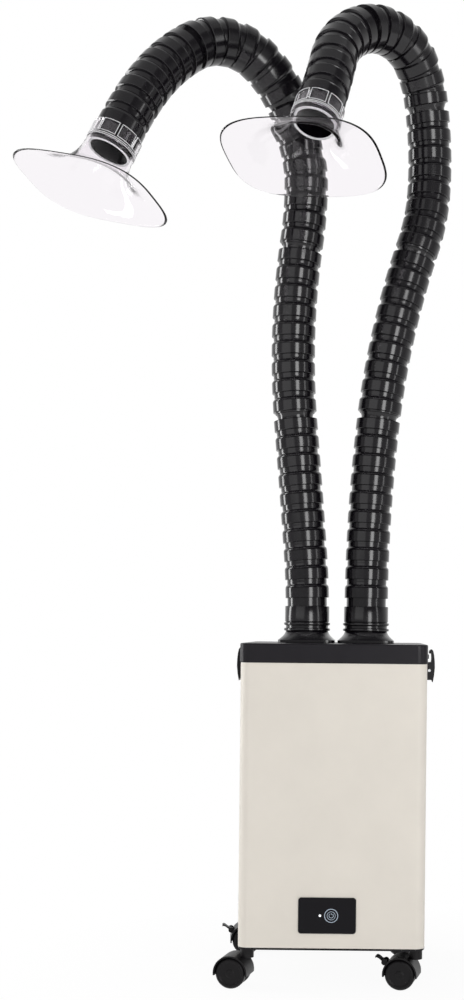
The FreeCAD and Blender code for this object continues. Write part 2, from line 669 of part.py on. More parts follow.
def deck():
    """Shelf that carries the filters, its air hole and the four posts under it."""
    plate = slab("deck_plate", "body_width - 2 * (shell_wall + deck_gap)",
                 "body_depth - 2 * (shell_wall + deck_gap)",
                 "body_corner - shell_wall - deck_gap", "deck_thickness", z=DECK_Z)
    eye = rod("deck_eye", "deck_hole", "deck_thickness + 2 * cut_over", z=DECK_Z + " - cut_over")
    part(cut("deck", plate, eye), "fan_deck")
    posts = [rod("deck_post_%d" % index, "deck_post_radius", "deck_level", x, y, SHELL_Z) for index, (x, y) in
             enumerate(corners("(body_width / 2 - deck_post_inset)", "(body_depth / 2 - deck_post_inset)"))]
    part(compound("deck_legs", *posts), "deck_posts")


def blower():
    """Round fan case with a straight outlet to the rear, hung under the deck, and the motor below it."""
    drum = rod("case_drum", CASE_RADIUS, "case_height", z=CASE_Z)
    reach = "(body_depth / 2 - shell_wall - outlet_gap)"
    side = CASE_RADIUS + " - outlet_width / 2"
    duct = block("case_duct", "outlet_width", reach, "case_height", side, reach + " / 2", CASE_Z)
    room = rod("case_room", CASE_RADIUS + " - case_wall", "case_height - 2 * case_wall",
               z=CASE_Z + " + case_wall")
    way = block("case_way", "outlet_width - 2 * case_wall", reach + " + cut_over",
                "case_height - 2 * case_wall", side,
                "(%s + cut_over) / 2" % reach, CASE_Z + " + case_wall")
    eye = rod("case_eye_cut", "case_eye", "2 * case_wall + cut_over", z=DECK_Z + " - 2 * case_wall")
    seat = rod("case_seat_cut", "fan_hub_radius + fan_plate", "2 * case_wall + cut_over",
               z=CASE_Z + " - cut_over")
    part(cut("case", fuse("case_solid", drum, duct), room, way, eye, seat), "blower_housing")
    can = rod("motor_can", "motor_radius", "motor_height", z=CASE_Z + " - motor_height")
    bore = rod("motor_bore_cut", "shaft_radius + shaft_fit", "motor_bore + cut_over",
               z=CASE_Z + " - motor_bore")
    part(cut("motor", can, bore), "blower_motor")


def impeller():
    """Open wheel of leaning blades between a back plate and a ring, on a hub, with its shaft."""
    floor = CASE_Z + " + case_wall + fan_gap"
    plate = rod("fan_back", FAN_RADIUS, "fan_plate", z=floor)
    hub = rod("fan_hub", "fan_hub_radius", "fan_blade_height / 2", z=floor)
    top = floor + " + fan_plate + fan_blade_height - fan_plate"
    ring = cut("fan_ring", rod("fan_ring_outer", FAN_RADIUS, "fan_plate", z=top),
               rod("fan_ring_inner", FAN_RADIUS + " - fan_blade_length + fan_plate",
                   "fan_plate + 2 * cut_over",
                   z=top + " - cut_over"))
    blades = []
    for index in range(FAN_BLADES):
        bearing = 360 * index / FAN_BLADES
        blade = doc.addObject("Part::Box", "fan_blade_%d" % index)
        bind(blade, "Length", "fan_blade_length")
        bind(blade, "Width", "fan_blade_thickness")
        bind(blade, "Height", "fan_blade_height")
        blade.Placement.Rotation = FreeCAD.Rotation(Vector(0, 0, 1), bearing + FAN_BLADE_TURN)
        reach = "(%s - fan_blade_length)" % FAN_RADIUS
        place(blade, "%s * %.9f" % (reach, math.cos(math.radians(bearing))),
              "%s * %.9f" % (reach, math.sin(math.radians(bearing))), floor)
        blades.append(blade)
    bore = rod("fan_bore", "shaft_radius", "fan_blade_height", z=floor + " - cut_over")
    part(cut("fan", fuse("fan_solid", plate, hub, ring, *blades), bore), "impeller")
    part(rod("shaft", "shaft_radius", "motor_bore + case_wall + fan_gap + fan_blade_height / 2",
             z=CASE_Z + " - motor_bore"), "motor_shaft")


FILTER_WIDTH = "(body_width - 2 * (shell_wall + filter_gap))"
FILTER_DEPTH = "(body_depth - 2 * (shell_wall + filter_gap))"


def filters():
    """Seal on the deck, carbon block, pleated fine filter and pre-filter mat, stacked to the top."""
    part(frame_ring("seal", FILTER_WIDTH, FILTER_DEPTH, "filter_corner", "seal_width", "seal_height",
                    DECK_TOP),
         "filter_seal")
    block_body = slab("carbon_block", FILTER_WIDTH, FILTER_DEPTH, "filter_corner", "carbon_height",
                      z=SEAL_TOP)
    face = [slab("carbon_face_%d" % end, FILTER_WIDTH + " - 2 * filter_rim",
                 FILTER_DEPTH + " - 2 * filter_rim",
                 "filter_corner", "filter_recess + cut_over", z=level)
            for end, level in enumerate((SEAL_TOP + " - cut_over", CARBON_TOP + " - filter_recess"))]
    part(cut("carbon", block_body, *face), "carbon_filter")
    case = frame_ring("hepa_case", FILTER_WIDTH, FILTER_DEPTH, "filter_corner", "filter_rim", HEPA_HEIGHT,
                      CARBON_TOP)
    part(compound("hepa", case, pleats()), "hepa_filter")
    part(slab("mat", FILTER_WIDTH, FILTER_DEPTH, "filter_corner", "mat_height", z=HEPA_TOP), "pre_filter")


def pleats():
    """One folded sheet of filter media inside the fine filter's frame."""
    width = size(FILTER_WIDTH + " - 2 * filter_rim - cut_over")
    depth = size(FILTER_DEPTH + " - 2 * filter_rim")
    media = size("hepa_media")
    low, high = size(CARBON_TOP + " + filter_recess"), size(HEPA_TOP + " - filter_recess - hepa_media")
    folds = int(width / size("hepa_pleat"))
    step = width / folds
    lower = [Vector(-width / 2 + index * step, -depth / 2, high if index % 2 else low)
             for index in range(folds + 1)]
    upper = [point + Vector(0, 0, media) for point in reversed(lower)]
    fold = Part.Face(Part.makePolygon(lower + upper + lower[:1]))
    obj = doc.addObject("Part::Feature", "hepa_media_sheet")
    obj.Shape = fold.extrude(Vector(0, depth, 0))
    return obj


# Lid, flanges and latches


def flange_screw_places():
    return [("%d * flange_side + %d * flange_screw_side" % (side, sx), "%d * flange_screw_side" % sy)
            for side in (-1, 1) for sx in (-1, 1) for sy in (-1, 1)]


def lid():
    """Moulded lid with two air holes and a keeper on each side, and the gasket under its skirt."""
    wide, deep = "(body_width + 2 * lid_overhang)", "(body_depth + 2 * lid_overhang)"
    corner = "(body_corner + lid_overhang)"
    cover = slab("lid_cover", wide, deep, corner, "lid_height", z=LID_Z, edge="lid_edge")
    keepers = [block("lid_keeper_%d" % side, "keeper_reach + lid_wall", "bracket_width - 2 * bracket_ear",
                     "keeper_height",
                     "%d * (body_width / 2 + lid_overhang + (keeper_reach - lid_wall) / 2)" % side,
                     z=LID_Z + " + keeper_rise") for side in (-1, 1)]
    hollow = slab("lid_hollow", wide + " - 2 * lid_wall", deep + " - 2 * lid_wall", corner + " - lid_wall",
                  "lid_height - lid_plate + cut_over", z=LID_Z + " - cut_over")
    holes = [rod("lid_eye_%d" % side, "flange_bore", "lid_plate + 2 * cut_over", "%d * flange_side" % side,
                 z=LID_TOP + " - lid_plate - cut_over") for side in (-1, 1)]
    holes += [rod("lid_hole_%d" % index, "screw_radius + screw_gap", "lid_plate + 2 * cut_over", x, y,
                  LID_TOP + " - lid_plate - cut_over") for index, (x, y) in enumerate(flange_screw_places())]
    part(cut("lid_shell", fuse("lid_solid", cover, *keepers), hollow, *holes), "lid")
    part(frame_ring("gasket", "(body_width - 2 * gasket_inset)", "(body_depth - 2 * gasket_inset)",
                    "(body_corner - gasket_inset)", "gasket_width", "gasket_height", SHELL_TOP), "lid_gasket")


def superellipse(half_x, half_y, squareness, to_place):
    """Closed outline |x/a|^n + |y/b|^n = 1, carried to its place by a function of (x, y)."""
    points = []
    for index in range(OUTLINE_POINTS):
        angle = 2 * math.pi * index / OUTLINE_POINTS
        across, along = math.cos(angle), math.sin(angle)
        points.append(to_place(math.copysign(abs(across) ** (2 / squareness), across) * half_x,
                               math.copysign(abs(along) ** (2 / squareness), along) * half_y))
    curve = Part.BSplineCurve()
    curve.interpolate(Points=points, PeriodicFlag=True)
    return Part.Wire([curve.toShape()])


def flange(side, label):
    """Square foot that flares into a round neck with two ridges and a cuff for the duct."""
    centre = Vector(side * size("flange_side"), 0, size(LID_TOP))
    half, neck = size("flange_half"), size("flange_neck")
    foot, flare = size("flange_foot"), size("flange_flare")
    ridge, height, pitch = size("flange_ridge"), size("ridge_height"), size("ridge_pitch")
    step = size("ring_step")
    rows = [(0, half, FLANGE_FLARE_SHARES[0][2])]
    rows += [(foot + flare * up, half + (neck - half) * shrink, square)
             for up, shrink, square in FLANGE_FLARE_SHARES]
    level = foot + flare
    for start in (level, level + pitch):
        rows += [(start + step, ridge, 2), (start + height, ridge, 2), (start + height + step, neck, 2)]
        rows += [(start + pitch, neck, 2)] if start == level else []
    top = size(CUFF_TOP) - centre.z
    cuff = size("cuff_radius")
    rows += [(level + pitch + height + 2 * step, cuff, 2), (top, cuff, 2)]
    bore, seat = size("flange_bore"), size("spigot_radius + spigot_gap")
    floor = top - size("spigot_depth + spigot_gap")
    inner_rows = [(0, bore, 2), (floor, bore, 2), (floor + step, seat, 2), (top, seat, 2)]

    def rings(table):
        return [superellipse(radius, radius, square, lambda x, y, z=z: centre + Vector(x, y, z))
                for z, radius, square in table]

    shape = shell_solid(rings(rows), rings(inner_rows))
    holes = []
    for sx in (-1, 1):
        for sy in (-1, 1):
            spot = centre + Vector(sx, sy, 0) * size("flange_screw_side")
            holes.append(Part.makeCylinder(size("screw_radius + screw_gap"), size("flange_screw_depth"),
                                           spot))
    loose_shape(label, shape.cut(holes))


def flange_screws():
    """Screws that come up through the lid into the flange feet, as one group."""
    under = LID_TOP + " - lid_plate"
    screws = []
    for index, (x, y) in enumerate(flange_screw_places()):
        head = rod("flange_head_%d" % index, "screw_head_radius", "screw_head", x, y, under + " - screw_head")
        shank = rod("flange_shank_%d" % index, "screw_radius",
                    "lid_plate + flange_screw_depth - screw_gap + cut_over / 2",
                    x, y, under + " - cut_over / 2")
        screws.append(fuse("flange_screw_%d" % index, head, shank))
    part(compound("flange_fixings", *screws), "flange_screws")


CLIP_Z = LID_Z + " - clip_drop"
PIVOT_Z = CLIP_Z + " + %s * clip_height" % CLIP_PIVOT_SHARES[1]


def latches():
    """A bracket, a pin and a curved spring clip on each side of the cabinet."""
    brackets, pins = [], []
    base = LID_Z + " - gasket_height - bracket_height"
    for side, name in ((-1, "left"), (1, "right")):
        wall = "%d * body_width / 2" % side
        plate = block("%s_bracket_plate" % name, "bracket_plate", "bracket_width", "bracket_height",
                      "%s + %d * bracket_plate / 2" % (wall, side), z=base)
        ears = [block("%s_bracket_ear_%d" % (name, end), "bracket_reach", "bracket_ear", "bracket_height",
                      "%s + %d * bracket_reach / 2" % (wall, side),
                      "%d * (bracket_width - bracket_ear) / 2" % end, base)
                for end in (-1, 1)]
        pivot = "%s + %d * %s * clip_reach" % (wall, side, CLIP_PIVOT_SHARES[0])
        bore = rod("%s_bracket_bore" % name, "latch_pin_radius", "bracket_width + 2 * cut_over", pivot,
                   "-bracket_width / 2 - cut_over", PIVOT_Z, "y")
        brackets.append(cut("%s_bracket" % name, fuse("%s_bracket_solid" % name, plate, *ears), bore))
        pins.append(rod("%s_pin" % name, "latch_pin_radius", "bracket_width", pivot, "-bracket_width / 2",
                        PIVOT_Z, "y"))
        points = [("%d * %s * clip_reach" % (side, out), "%s * clip_height" % up) for out, up in CLIP_SHARES]
        body = prism("%s_clip_arm" % name, points, "bracket_width - 2 * bracket_ear - 2 * clip_gap", wall,
                     z=CLIP_Z)
        hole = rod("%s_clip_bore" % name, "latch_pin_radius + shaft_fit", "bracket_width + 2 * cut_over",
                   pivot,
                   "-bracket_width / 2 - cut_over", PIVOT_Z, "y")
        part(cut("%s_clip" % name, body, hole), "%s_latch_clip" % name)
    part(compound("brackets", *brackets), "latch_brackets")
    part(compound("pins", *pins), "latch_pins")


# Casters


AXLE_DROP = "(caster_drop - wheel_radius)"
HUB_TOP = "(stem_flange + hub_gap)"
FENDER_IN = "(wheel_radius + fender_gap)"
FENDER_OUT = "(wheel_radius + fender_gap + fender_wall)"
TWIN_WIDTH = "(web_width + 2 * wheel_gap + 2 * wheel_width)"


def caster_stems():
    """Flanged stems through the tray with their nuts, each as one group."""
    stems, nuts = [], []
    for index, (x, y) in enumerate(corners(CASTER_SIDE, CASTER_BACK)):
        collar = rod("stem_collar_%d" % index, "stem_flange_radius", "stem_flange", x, y,
                     "pad_drop - stem_flange")
        shank = rod("stem_shank_%d" % index, "stem_radius",
                    "stem_flange + stem_pin + tray_floor + stem_thread", x, y,
                    "pad_drop - stem_flange - stem_pin")
        stems.append(fuse("stem_%d" % index, collar, shank))
        hexagon = doc.addObject("Part::Prism", "nut_hexagon_%d" % index)
        hexagon.Polygon = 6
        bind(hexagon, "Circumradius", "nut_radius")
        bind(hexagon, "Height", "nut_height")
        place(hexagon, x, y, SHELL_Z)
        hole = rod("nut_hole_%d" % index, "stem_radius", "nut_height + 2 * cut_over", x, y,
                   SHELL_Z + " - cut_over")
        nuts.append(cut("nut_%d" % index, hexagon, hole))
    part(compound("stems", *stems), "caster_stems")
    part(compound("nuts", *nuts), "caster_nuts")


def half_disc(name, radius, width):
    """Sector of a disc about the axle, open downwards, centred on Y."""
    obj = rod(name, radius, width, "-caster_trail", "(%s) / 2" % width, "-" + AXLE_DROP)
    obj.Angle = FENDER_SWEEP
    spare = (FENDER_SWEEP - 180) / 2
    stand = FreeCAD.Rotation(Vector(1, 0, 0), 90)
    obj.Placement.Rotation = stand.multiply(FreeCAD.Rotation(Vector(0, 0, 1), -spare))
    return obj


def lever_pivot():
    """The brake lever's pivot from the swivel, as (x, z) expressions."""
    reach = "(%s + lever_gap + lever_boss)" % FENDER_OUT
    bearing = math.radians(LEVER_BEARING)
    return ("-caster_trail + %s * %.9f" % (reach, math.cos(bearing)),
            "-%s + %s * %.9f" % (AXLE_DROP, reach, math.sin(bearing)))


def settle(obj, label, side, back, yaw):
    """Put a caster piece, drawn about its swivel, in its place under the tray."""
    obj.Placement = FreeCAD.Placement(Vector(0, 0, 0), FreeCAD.Rotation(Vector(0, 0, 1), yaw))
    place(obj, "%d * %s" % (side, CASTER_SIDE), "%d * %s" % (back, CASTER_BACK), "pad_drop")
    return part(obj, label)


def fork(name, braked):
    """Hub on the stem, a web between the wheels and a fender over them, with ears for a brake lever."""
    hub = rod(name + "_hub", "hub_radius", "hub_height", z="-%s - hub_height" % HUB_TOP)
    web = half_disc(name + "_web", FENDER_OUT + " - fender_wall / 2", "web_width")
    boss = rod(name + "_boss", "web_boss", "web_width", "-caster_trail", "-web_width / 2", "-" + AXLE_DROP,
               "y")
    arch = half_disc(name + "_fender_outer", FENDER_OUT, TWIN_WIDTH)
    room = rod(name + "_fender_room", FENDER_IN, TWIN_WIDTH + " + 2 * cut_over", "-caster_trail",
               "-%s / 2 - cut_over" % TWIN_WIDTH, "-" + AXLE_DROP, "y")
    pieces = [hub, web, boss, cut(name + "_fender", arch, room)]
    holes = [rod(name + "_stem_bore", "stem_radius + shaft_fit", "stem_pin + hub_gap + cut_over",
                 z="-stem_flange - stem_pin - hub_gap"),
             rod(name + "_axle_bore", "axle_radius + shaft_fit", "web_width + 2 * cut_over", "-caster_trail",
                 "-web_width / 2 - cut_over", "-" + AXLE_DROP, "y")]
    if braked:
        x, z = lever_pivot()
        for side in (-1, 1):
            start = "%d * (lever_width / 2 + lever_gap + ear_thickness / 2) - ear_thickness / 2" % side
            pieces.append(rod("%s_ear_%d" % (name, side), "lever_boss + lever_gap + fender_wall / 2",
                              "ear_thickness",
                              x, start, z, "y"))
        holes.append(rod(name + "_ear_bore", "lever_pin + shaft_fit", "2 * lever_width", x, "-lever_width", z,
                         "y"))
    solid = fuse(name + "_fork_solid", *pieces)
    return cut(name + "_fork_cut", solid, *holes)


def wheel_pair(name):
    """Two dished wheels, chamfered at the tread, with blind bores for the axle."""
    profile = [("axle_radius", "0"), ("wheel_radius - wheel_round", "0"), ("wheel_radius", "wheel_round"),
               ("wheel_radius", "wheel_width - wheel_round"), ("wheel_radius - wheel_round", "wheel_width"),
               ("wheel_radius - 2 * wheel_round", "wheel_width - wheel_dish"),
               ("0", "wheel_width - wheel_dish"),
               ("0", "wheel_width - wheel_cap"), ("axle_radius", "wheel_width - wheel_cap")]
    wheels = []
    for side in (-1, 1):
        wheels.append(turned("%s_wheel_%d" % (name, side), profile, "-caster_trail",
                             "%d * (web_width / 2 + wheel_gap)" % side, "-" + AXLE_DROP,
                             ((1, 0, 0), -90 * side)))
    return compound(name + "_pair", *wheels)


def brake_lever(name):
    """Curved foot tab on a boss with two trunnions."""
    x, z = lever_pivot()
    top = [("-%s * lever_reach" % out, "%s * lever_reach + lever_boss" % up) for out, up in LEVER_SHARES]
    low = [("-%s * lever_reach" % out, "%s * lever_reach + lever_boss - lever_thickness" % up)
           for out, up in reversed(LEVER_SHARES)]
    tab = prism(name + "_tab", top + low, "lever_width", x, z=z)
    boss = rod(name + "_lever_boss", "lever_boss", "lever_width", x, "-lever_width / 2", z, "y")
    pin = rod(name + "_lever_pin", "lever_pin", "lever_width + 2 * (lever_gap + ear_thickness)", x,
              "-lever_width / 2 - lever_gap - ear_thickness", z, "y")
    return fuse(name + "_lever", tab, boss, pin)


def casters():
    """Four twin-wheel casters, two of them with a brake lever."""
    for name, (side, back, yaw, braked) in CASTERS.items():
        settle(fork(name, braked), name + "_fork", side, back, yaw)
        half = "(web_width / 2 + wheel_gap + wheel_width - wheel_cap)"
        axle = compound(name + "_axle_rod", rod(name + "_axle_bar", "axle_radius", "2 * " + half,
                                                "-caster_trail",
                                                "-" + half, "-" + AXLE_DROP, "y"))
        settle(axle, name + "_axle", side, back, yaw)
        settle(wheel_pair(name), name + "_wheels", side, back, yaw)
        if braked:
            settle(brake_lever(name), name + "_brake_lever", side, back, yaw)


# Ringed arms and hoods


def heading(side, lean):
    """Unit vector from +Z, swung sideways towards +X and leaning to the front, in degrees."""
    swing, tip = math.radians(side), math.radians(lean)
    return Vector(math.sin(swing) * math.cos(tip), -math.sin(tip), math.cos(swing) * math.cos(tip))


def ring_starts(runs, start):
    """Each ring of an arm as (skirt start, skirt length, side, lean), walking on from the cuff."""
    point, side, lean = start, 0, 0
    rings = []
    for count, pitch_share, side_step, lean_step in runs:
        pitch = size("ring_pitch") * pitch_share
        for _ in range(count):
            point = point + heading(side + side_step / 2, lean + lean_step / 2) * (pitch * (1 - SKIRT_SHARE))
            side, lean = side + side_step, lean + lean_step
            rings.append((point, pitch * SKIRT_SHARE, side, lean))
            point = point + heading(side, lean) * (pitch * SKIRT_SHARE)
    return rings


def circle(point, side, lean, radius):
    """A circle square to its heading, with its X axis in the plane of the side swing."""
    axis = heading(side, lean)
    across = Vector(math.cos(math.radians(side)), 0, -math.sin(math.radians(side)))
    ring = Part.Circle(Vector(0, 0, 0), Vector(0, 0, 1), radius).toShape()
    ring.Placement = FreeCAD.Placement(point, FreeCAD.Rotation(across, axis.cross(across), axis, "ZXY"))
    return Part.Wire([ring])


def ball_circles(centre, side, lean, radius, first, last):
    """Circles on a sphere from one distance along its axis to another."""
    start, stop = math.asin(first / radius), math.asin(last / radius)
    rows = []
    for index in range(BALL_FACETS + 1):
        angle = start + (stop - start) * index / BALL_FACETS
        along = radius * math.sin(angle)
        rows.append(circle(centre + heading(side, lean) * along, side, lean, radius * math.cos(angle)))
    return rows


def ball_centre(ring):
    """Centre of the ball that a section's first ring turns on."""
    point, length, side, lean = ring
    return point + heading(side, lean) * size("socket_lip")


def section(rings, following, start):
    """One stiff stretch of rings: a socket or a cuff spigot at its foot, a ball or a hood tip at its head."""
    step, skirt, bead, bore = size("ring_step"), size("skirt_radius"), size("bead_radius"), size("duct_bore")
    outer, inner = [], []
    point, length, side, lean = rings[0]
    if start:
        foot = start - Vector(0, 0, size("spigot_depth"))
        spigot = size("spigot_radius")
        outer += [circle(foot, 0, 0, spigot), circle(start, 0, 0, spigot)]
        outer += [circle(start + Vector(0, 0, step), 0, 0, bead)]
        outer += [circle(point - heading(side, lean) * step, side, lean, bead)]
        inner += [circle(foot, 0, 0, size("neck_bore")), circle(start, 0, 0, size("neck_bore"))]
    else:
        cup = size("ball_radius + socket_gap")
        reach = math.sqrt(cup ** 2 - bore ** 2)
        inner += ball_circles(ball_centre(rings[0]), side, lean, cup, -size("socket_lip"), reach)
    for index, (point, length, side, lean) in enumerate(rings):
        ahead = heading(side, lean)
        outer += [circle(point, side, lean, skirt), circle(point + ahead * length, side, lean, skirt)]
        if index or start:
            inner.append(circle(point, side, lean, bore))
        if index + 1 < len(rings):
            on, on_length, on_side, on_lean = rings[index + 1]
            outer.append(circle(point + ahead * (length + step), side, lean, bead))
            outer.append(circle(on - heading(on_side, on_lean) * step, on_side, on_lean, bead))
    tip = point + ahead * length
    if following:
        centre, ball, neck = ball_centre(following), size("ball_radius"), size("neck_radius")
        outer.append(circle(tip + ahead * step, side, lean, neck))
        outer += ball_circles(centre, side, lean, ball, -math.sqrt(ball ** 2 - neck ** 2), size("ball_front"))
        inner.append(circle(tip, side, lean, size("neck_bore")))
        inner.append(circle(centre + ahead * size("ball_front"), side, lean, size("neck_bore")))
    else:
        end = tip + ahead * size("tip_length")
        outer += [circle(tip + ahead * step, side, lean, size("tip_radius")), circle(end, side, lean,
                                                                                     size("tip_radius"))]
        inner += [circle(tip, side, lean, bore), circle(end, side, lean, bore)]
    return shell_solid(outer, inner)


def hood(name, ring):
    """Clear hood: a slotted collar on the duct's tip that flares to a rounded oblong rim."""
    point, length, side, lean = ring
    axis = heading(side, lean)
    across = Vector(math.cos(math.radians(side)), 0, -math.sin(math.radians(side)))
    across = FreeCAD.Rotation(axis, HOOD_ROLL[name]).multVec(across)
    upward = axis.cross(across)
    origin = point + axis * (length + size("spigot_gap"))
    wall, collar = size("hood_wall"), size("collar_radius")
    height, depth = size("collar_height"), size("hood_depth")
    half_long, half_short = size("rim_long") / 2, size("rim_short") / 2
    throat = size("tip_radius + spigot_gap")

    def ring_at(along, long, short, square):
        return superellipse(long, short, square, lambda x, y: origin + axis * along + across * x + upward * y)

    outer = [ring_at(0, collar, collar, 2)]
    inner = [ring_at(0, throat, throat, 2)]
    for down, growth, square in HOOD_FLARE_SHARES:
        along = height + depth * down
        long, short = collar + (half_long - collar) * growth, collar + (half_short - collar) * growth
        thick = wall + (collar - throat - wall) * (1 - growth) ** 4
        outer.append(ring_at(along, long, short, square))
        inner.append(ring_at(along, long - thick, short - thick, square))
    shape = shell_solid(outer, inner)
    slots = []
    for index in range(COLLAR_TABS):
        bearing = FreeCAD.Rotation(axis, 360 * index / COLLAR_TABS)
        reach, sideways = bearing.multVec(across), bearing.multVec(upward)
        width, deep, over = size("collar_slot"), size("collar_slot_depth"), size("cut_over")
        slot = Part.makeBox(collar + over, width, deep + over, Vector(0, -width / 2, -over))
        slot.Placement = FreeCAD.Placement(origin, FreeCAD.Rotation(reach, sideways, axis, "ZXY"))
        slots.append(slot)
    loose_shape(name + "_hood", shape.cut(slots))


def arms():
    """Both arms, section by section, each with its hood."""
    for name, side, runs in (("left", -1, LEFT_RUN_SHARES), ("right", 1, RIGHT_RUN_SHARES)):
        start = Vector(side * size("flange_side"), 0, size(CUFF_TOP))
        rings = ring_starts(runs, start)
        first = 0
        for number, count in enumerate(SECTION_RINGS, 1):
            last = first + count
            following = rings[last] if last < len(rings) else None
            shape = section(rings[first:last], following, start if number == 1 else None)
            loose_shape("%s_duct_%d" % (name, number), shape)
            first = last
        hood(name, rings[-1])


def build():
    base_tray()
    cabinet_shell()
    rear_panel()
    exhaust_grille()
    power_inlet()
    panel_screws()
    control_unit()
    deck()
    blower()
    impeller()
    filters()
    lid()
    flange(-1, "left_flange")
    flange(1, "right_flange")
    flange_screws()
    latches()
    caster_stems()
    casters()
    arms()
    doc.recompute()


def write():
    """Check every object, then write one file for each piece."""
    for obj in doc.Objects:
        if "Invalid" in obj.State or "Error" in obj.State:
            raise RuntimeError("%s did not build: %s" % (obj.Name, obj.State))
    for obj in parts:
        if obj.Shape.isNull() or not obj.Shape.isValid() or obj.Shape.Volume <= 0:
            raise RuntimeError("%s has no valid solid" % obj.Label)
    os.makedirs("parts", exist_ok=True)
    for obj in parts:
        obj.Shape.exportStep("parts/%s.step" % obj.Label)
    print(len(parts), "pieces")


build()
write()
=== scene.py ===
"""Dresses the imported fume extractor: arms, hoods, duct flanges, wheels, key print, finishes and stage."""
import json
import math

import bpy
import numpy as np
from bpy.props import FloatProperty, FloatVectorProperty, IntProperty, PointerProperty
from bpy.types import Operator, Panel, PropertyGroup
from mathutils import Matrix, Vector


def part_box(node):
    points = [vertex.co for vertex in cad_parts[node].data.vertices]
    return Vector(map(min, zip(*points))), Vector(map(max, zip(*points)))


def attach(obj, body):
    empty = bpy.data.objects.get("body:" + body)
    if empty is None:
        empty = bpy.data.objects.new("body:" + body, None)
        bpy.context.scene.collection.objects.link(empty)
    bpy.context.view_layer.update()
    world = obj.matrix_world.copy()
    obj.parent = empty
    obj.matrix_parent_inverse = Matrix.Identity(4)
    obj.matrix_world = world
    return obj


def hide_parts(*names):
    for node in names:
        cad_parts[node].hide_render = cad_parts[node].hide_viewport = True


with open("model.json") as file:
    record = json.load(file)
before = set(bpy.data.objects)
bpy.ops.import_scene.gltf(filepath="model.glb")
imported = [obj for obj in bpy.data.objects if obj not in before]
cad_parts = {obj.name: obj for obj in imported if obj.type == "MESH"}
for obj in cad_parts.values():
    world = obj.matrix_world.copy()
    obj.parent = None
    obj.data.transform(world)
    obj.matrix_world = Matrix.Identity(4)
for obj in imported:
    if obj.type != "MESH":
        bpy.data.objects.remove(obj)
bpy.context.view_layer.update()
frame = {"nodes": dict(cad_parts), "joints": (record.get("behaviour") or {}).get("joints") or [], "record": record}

bl_info = {
    "name": "Fume Extractor Dressing",
    "version": (1, 0, 0),
    "blender": (4, 5, 0),
    "location": "View3D > Sidebar > Extractor",
    "description": "Ring arms, clear hoods, wheels, finishes and stage for a twin-arm fume extractor",
    "category": "Object",
}

MM = 0.001
JOINTS = {joint["name"]: joint for joint in frame["joints"]}
SIDES = {"left": -1, "right": 1}
CASTERS = ["front_left", "front_right", "rear_left", "rear_right"]

# Each arm from the cuff to the hood: rings, share of the ring pitch, degrees of side and front tilt per ring
ARM_RUNS = {
    "left": [(3, 1.02, -1.5, 0), (7, 1.02, -0.1, 0), (10, 1.02, 1.3, 0.1),
             (3, 1.0, -2.5, 2.3), (5, 1.0, -6.6, 3.1), (2, 1.0, -10, 1),
             (4, 1.0, -20.6, 2.1), (1, 1.0, -6, 0), (3, 1.0, -4.1, -2.9),
             (3, 1.0, -1.2, -4.6)],
    "right": [(10, 1.02, 0.6, 0), (10, 1.02, 1.2, -0.2), (3, 1.0, -4.8, 0.1),
              (5, 1.0, -2.6, 3.6), (2, 1.0, -10.9, 10.7), (4, 1.0, -23, 1.5),
              (1, 1.0, -11.5, -4.3), (3, 1.0, -12.3, -2.6), (3, 1.0, 2, -3.8)],
}
# Rings in each stiff section from the cuff, and the first section whose rings point the other way
SECTION_RINGS = [10, 9, 8, 7, 7]
FIRST_TURNED_SECTION = 4
# Bevel at each end of a skirt: share of its length, and drop
SKIRT_EDGE, SKIRT_DROP = 0.03, 0.5 * MM
# From a skirt to the next: share of the gap, share of the step from bead to skirt
SHOULDER_SHARES = [(0.04, 0.97), (0.1, 0.9), (0.17, 0.76), (0.24, 0.54), (0.3, 0.28), (0.35, 0.08),
                   (0.42, 0.0), (0.7, 0.06), (0.97, 0.0)]
# Spigot of an arm in its cuff and tip of an arm in its hood: length, radius
SPIGOT, TIP = (14 * MM, 27.2 * MM), (28 * MM, 28.6 * MM)
# Room where a section ends at a cuff, a hood or its own neck
SEAT = 0.3 * MM
# Neck behind a ball, how far the ball goes beyond its centre, points along the ball and along its cup
NECK, BALL_REACH, BALL_STEPS, CUP_STEPS = 25 * MM, 8 * MM, 10, 9
# Millimetres of lip behind a section's first skirt and of shoulder after its last, which leave room to bend
SOCKET_LIPS = {2: 2.8, 3: 3.3, 4: 1.4, 5: 2.8}
SHOULDERS = {1: 1.0, 2: 1.5, 3: 0.0, 4: 0.0}
# Rounded end of a lip: millimetres from its end and from the bead's radius; least wall; step to a skirt
LIP_ROUND = [(0.0, -1.0), (0.4, -0.2), (0.8, 0.0)]
LIP_WALL, LIP_STEP = 0.15 * MM, 0.2 * MM
# Where the rings are turned, the share of a lip that rises to the skirt, and where it has points
LIP_RISE, LIP_RISE_SHARES = 0.33, (0.1, 0.35, 0.65, 0.9)
# Shoulder before a neck: share of its length, share of the step from bead to skirt; its foot above the bead
END_SHOULDER_SHARES = [(0.2, 0.86), (0.5, 0.6), (0.8, 0.25), (1.0, 0.0)]
END_SHOULDER_FOOT = 0.4 * MM

# Degrees by which each hood is rolled on its arm
HOOD_ROLL = {"left": 27, "right": 22}
HOOD_FACETS = 160
# Collar rows and the two ridges on it, in millimetres from the collar's end, and the ridges' spread
COLLAR_ROWS = np.array([0, 0.6, 3, 6, 9, 12, 15, 18.5, 19.4, 20, 20.6, 21.2, 21.7, 22.2, 22.8, 23.4, 24, 27,
                        30])
RIDGES, RIDGE_SPREAD = (20.6, 22.8), 0.7
# Hood flare: share of the depth, share of the growth from collar to rim, squareness of the outline
HOOD_FLARE_SHARES = np.array([(0.0, 0.0, 2.0), (0.22, 0.03, 2.0), (0.42, 0.09, 2.05), (0.58, 0.18, 2.15),
                              (0.72, 0.32, 2.3), (0.83, 0.5, 2.5), (0.92, 0.72, 2.8), (1.0, 1.0, 3.1)])
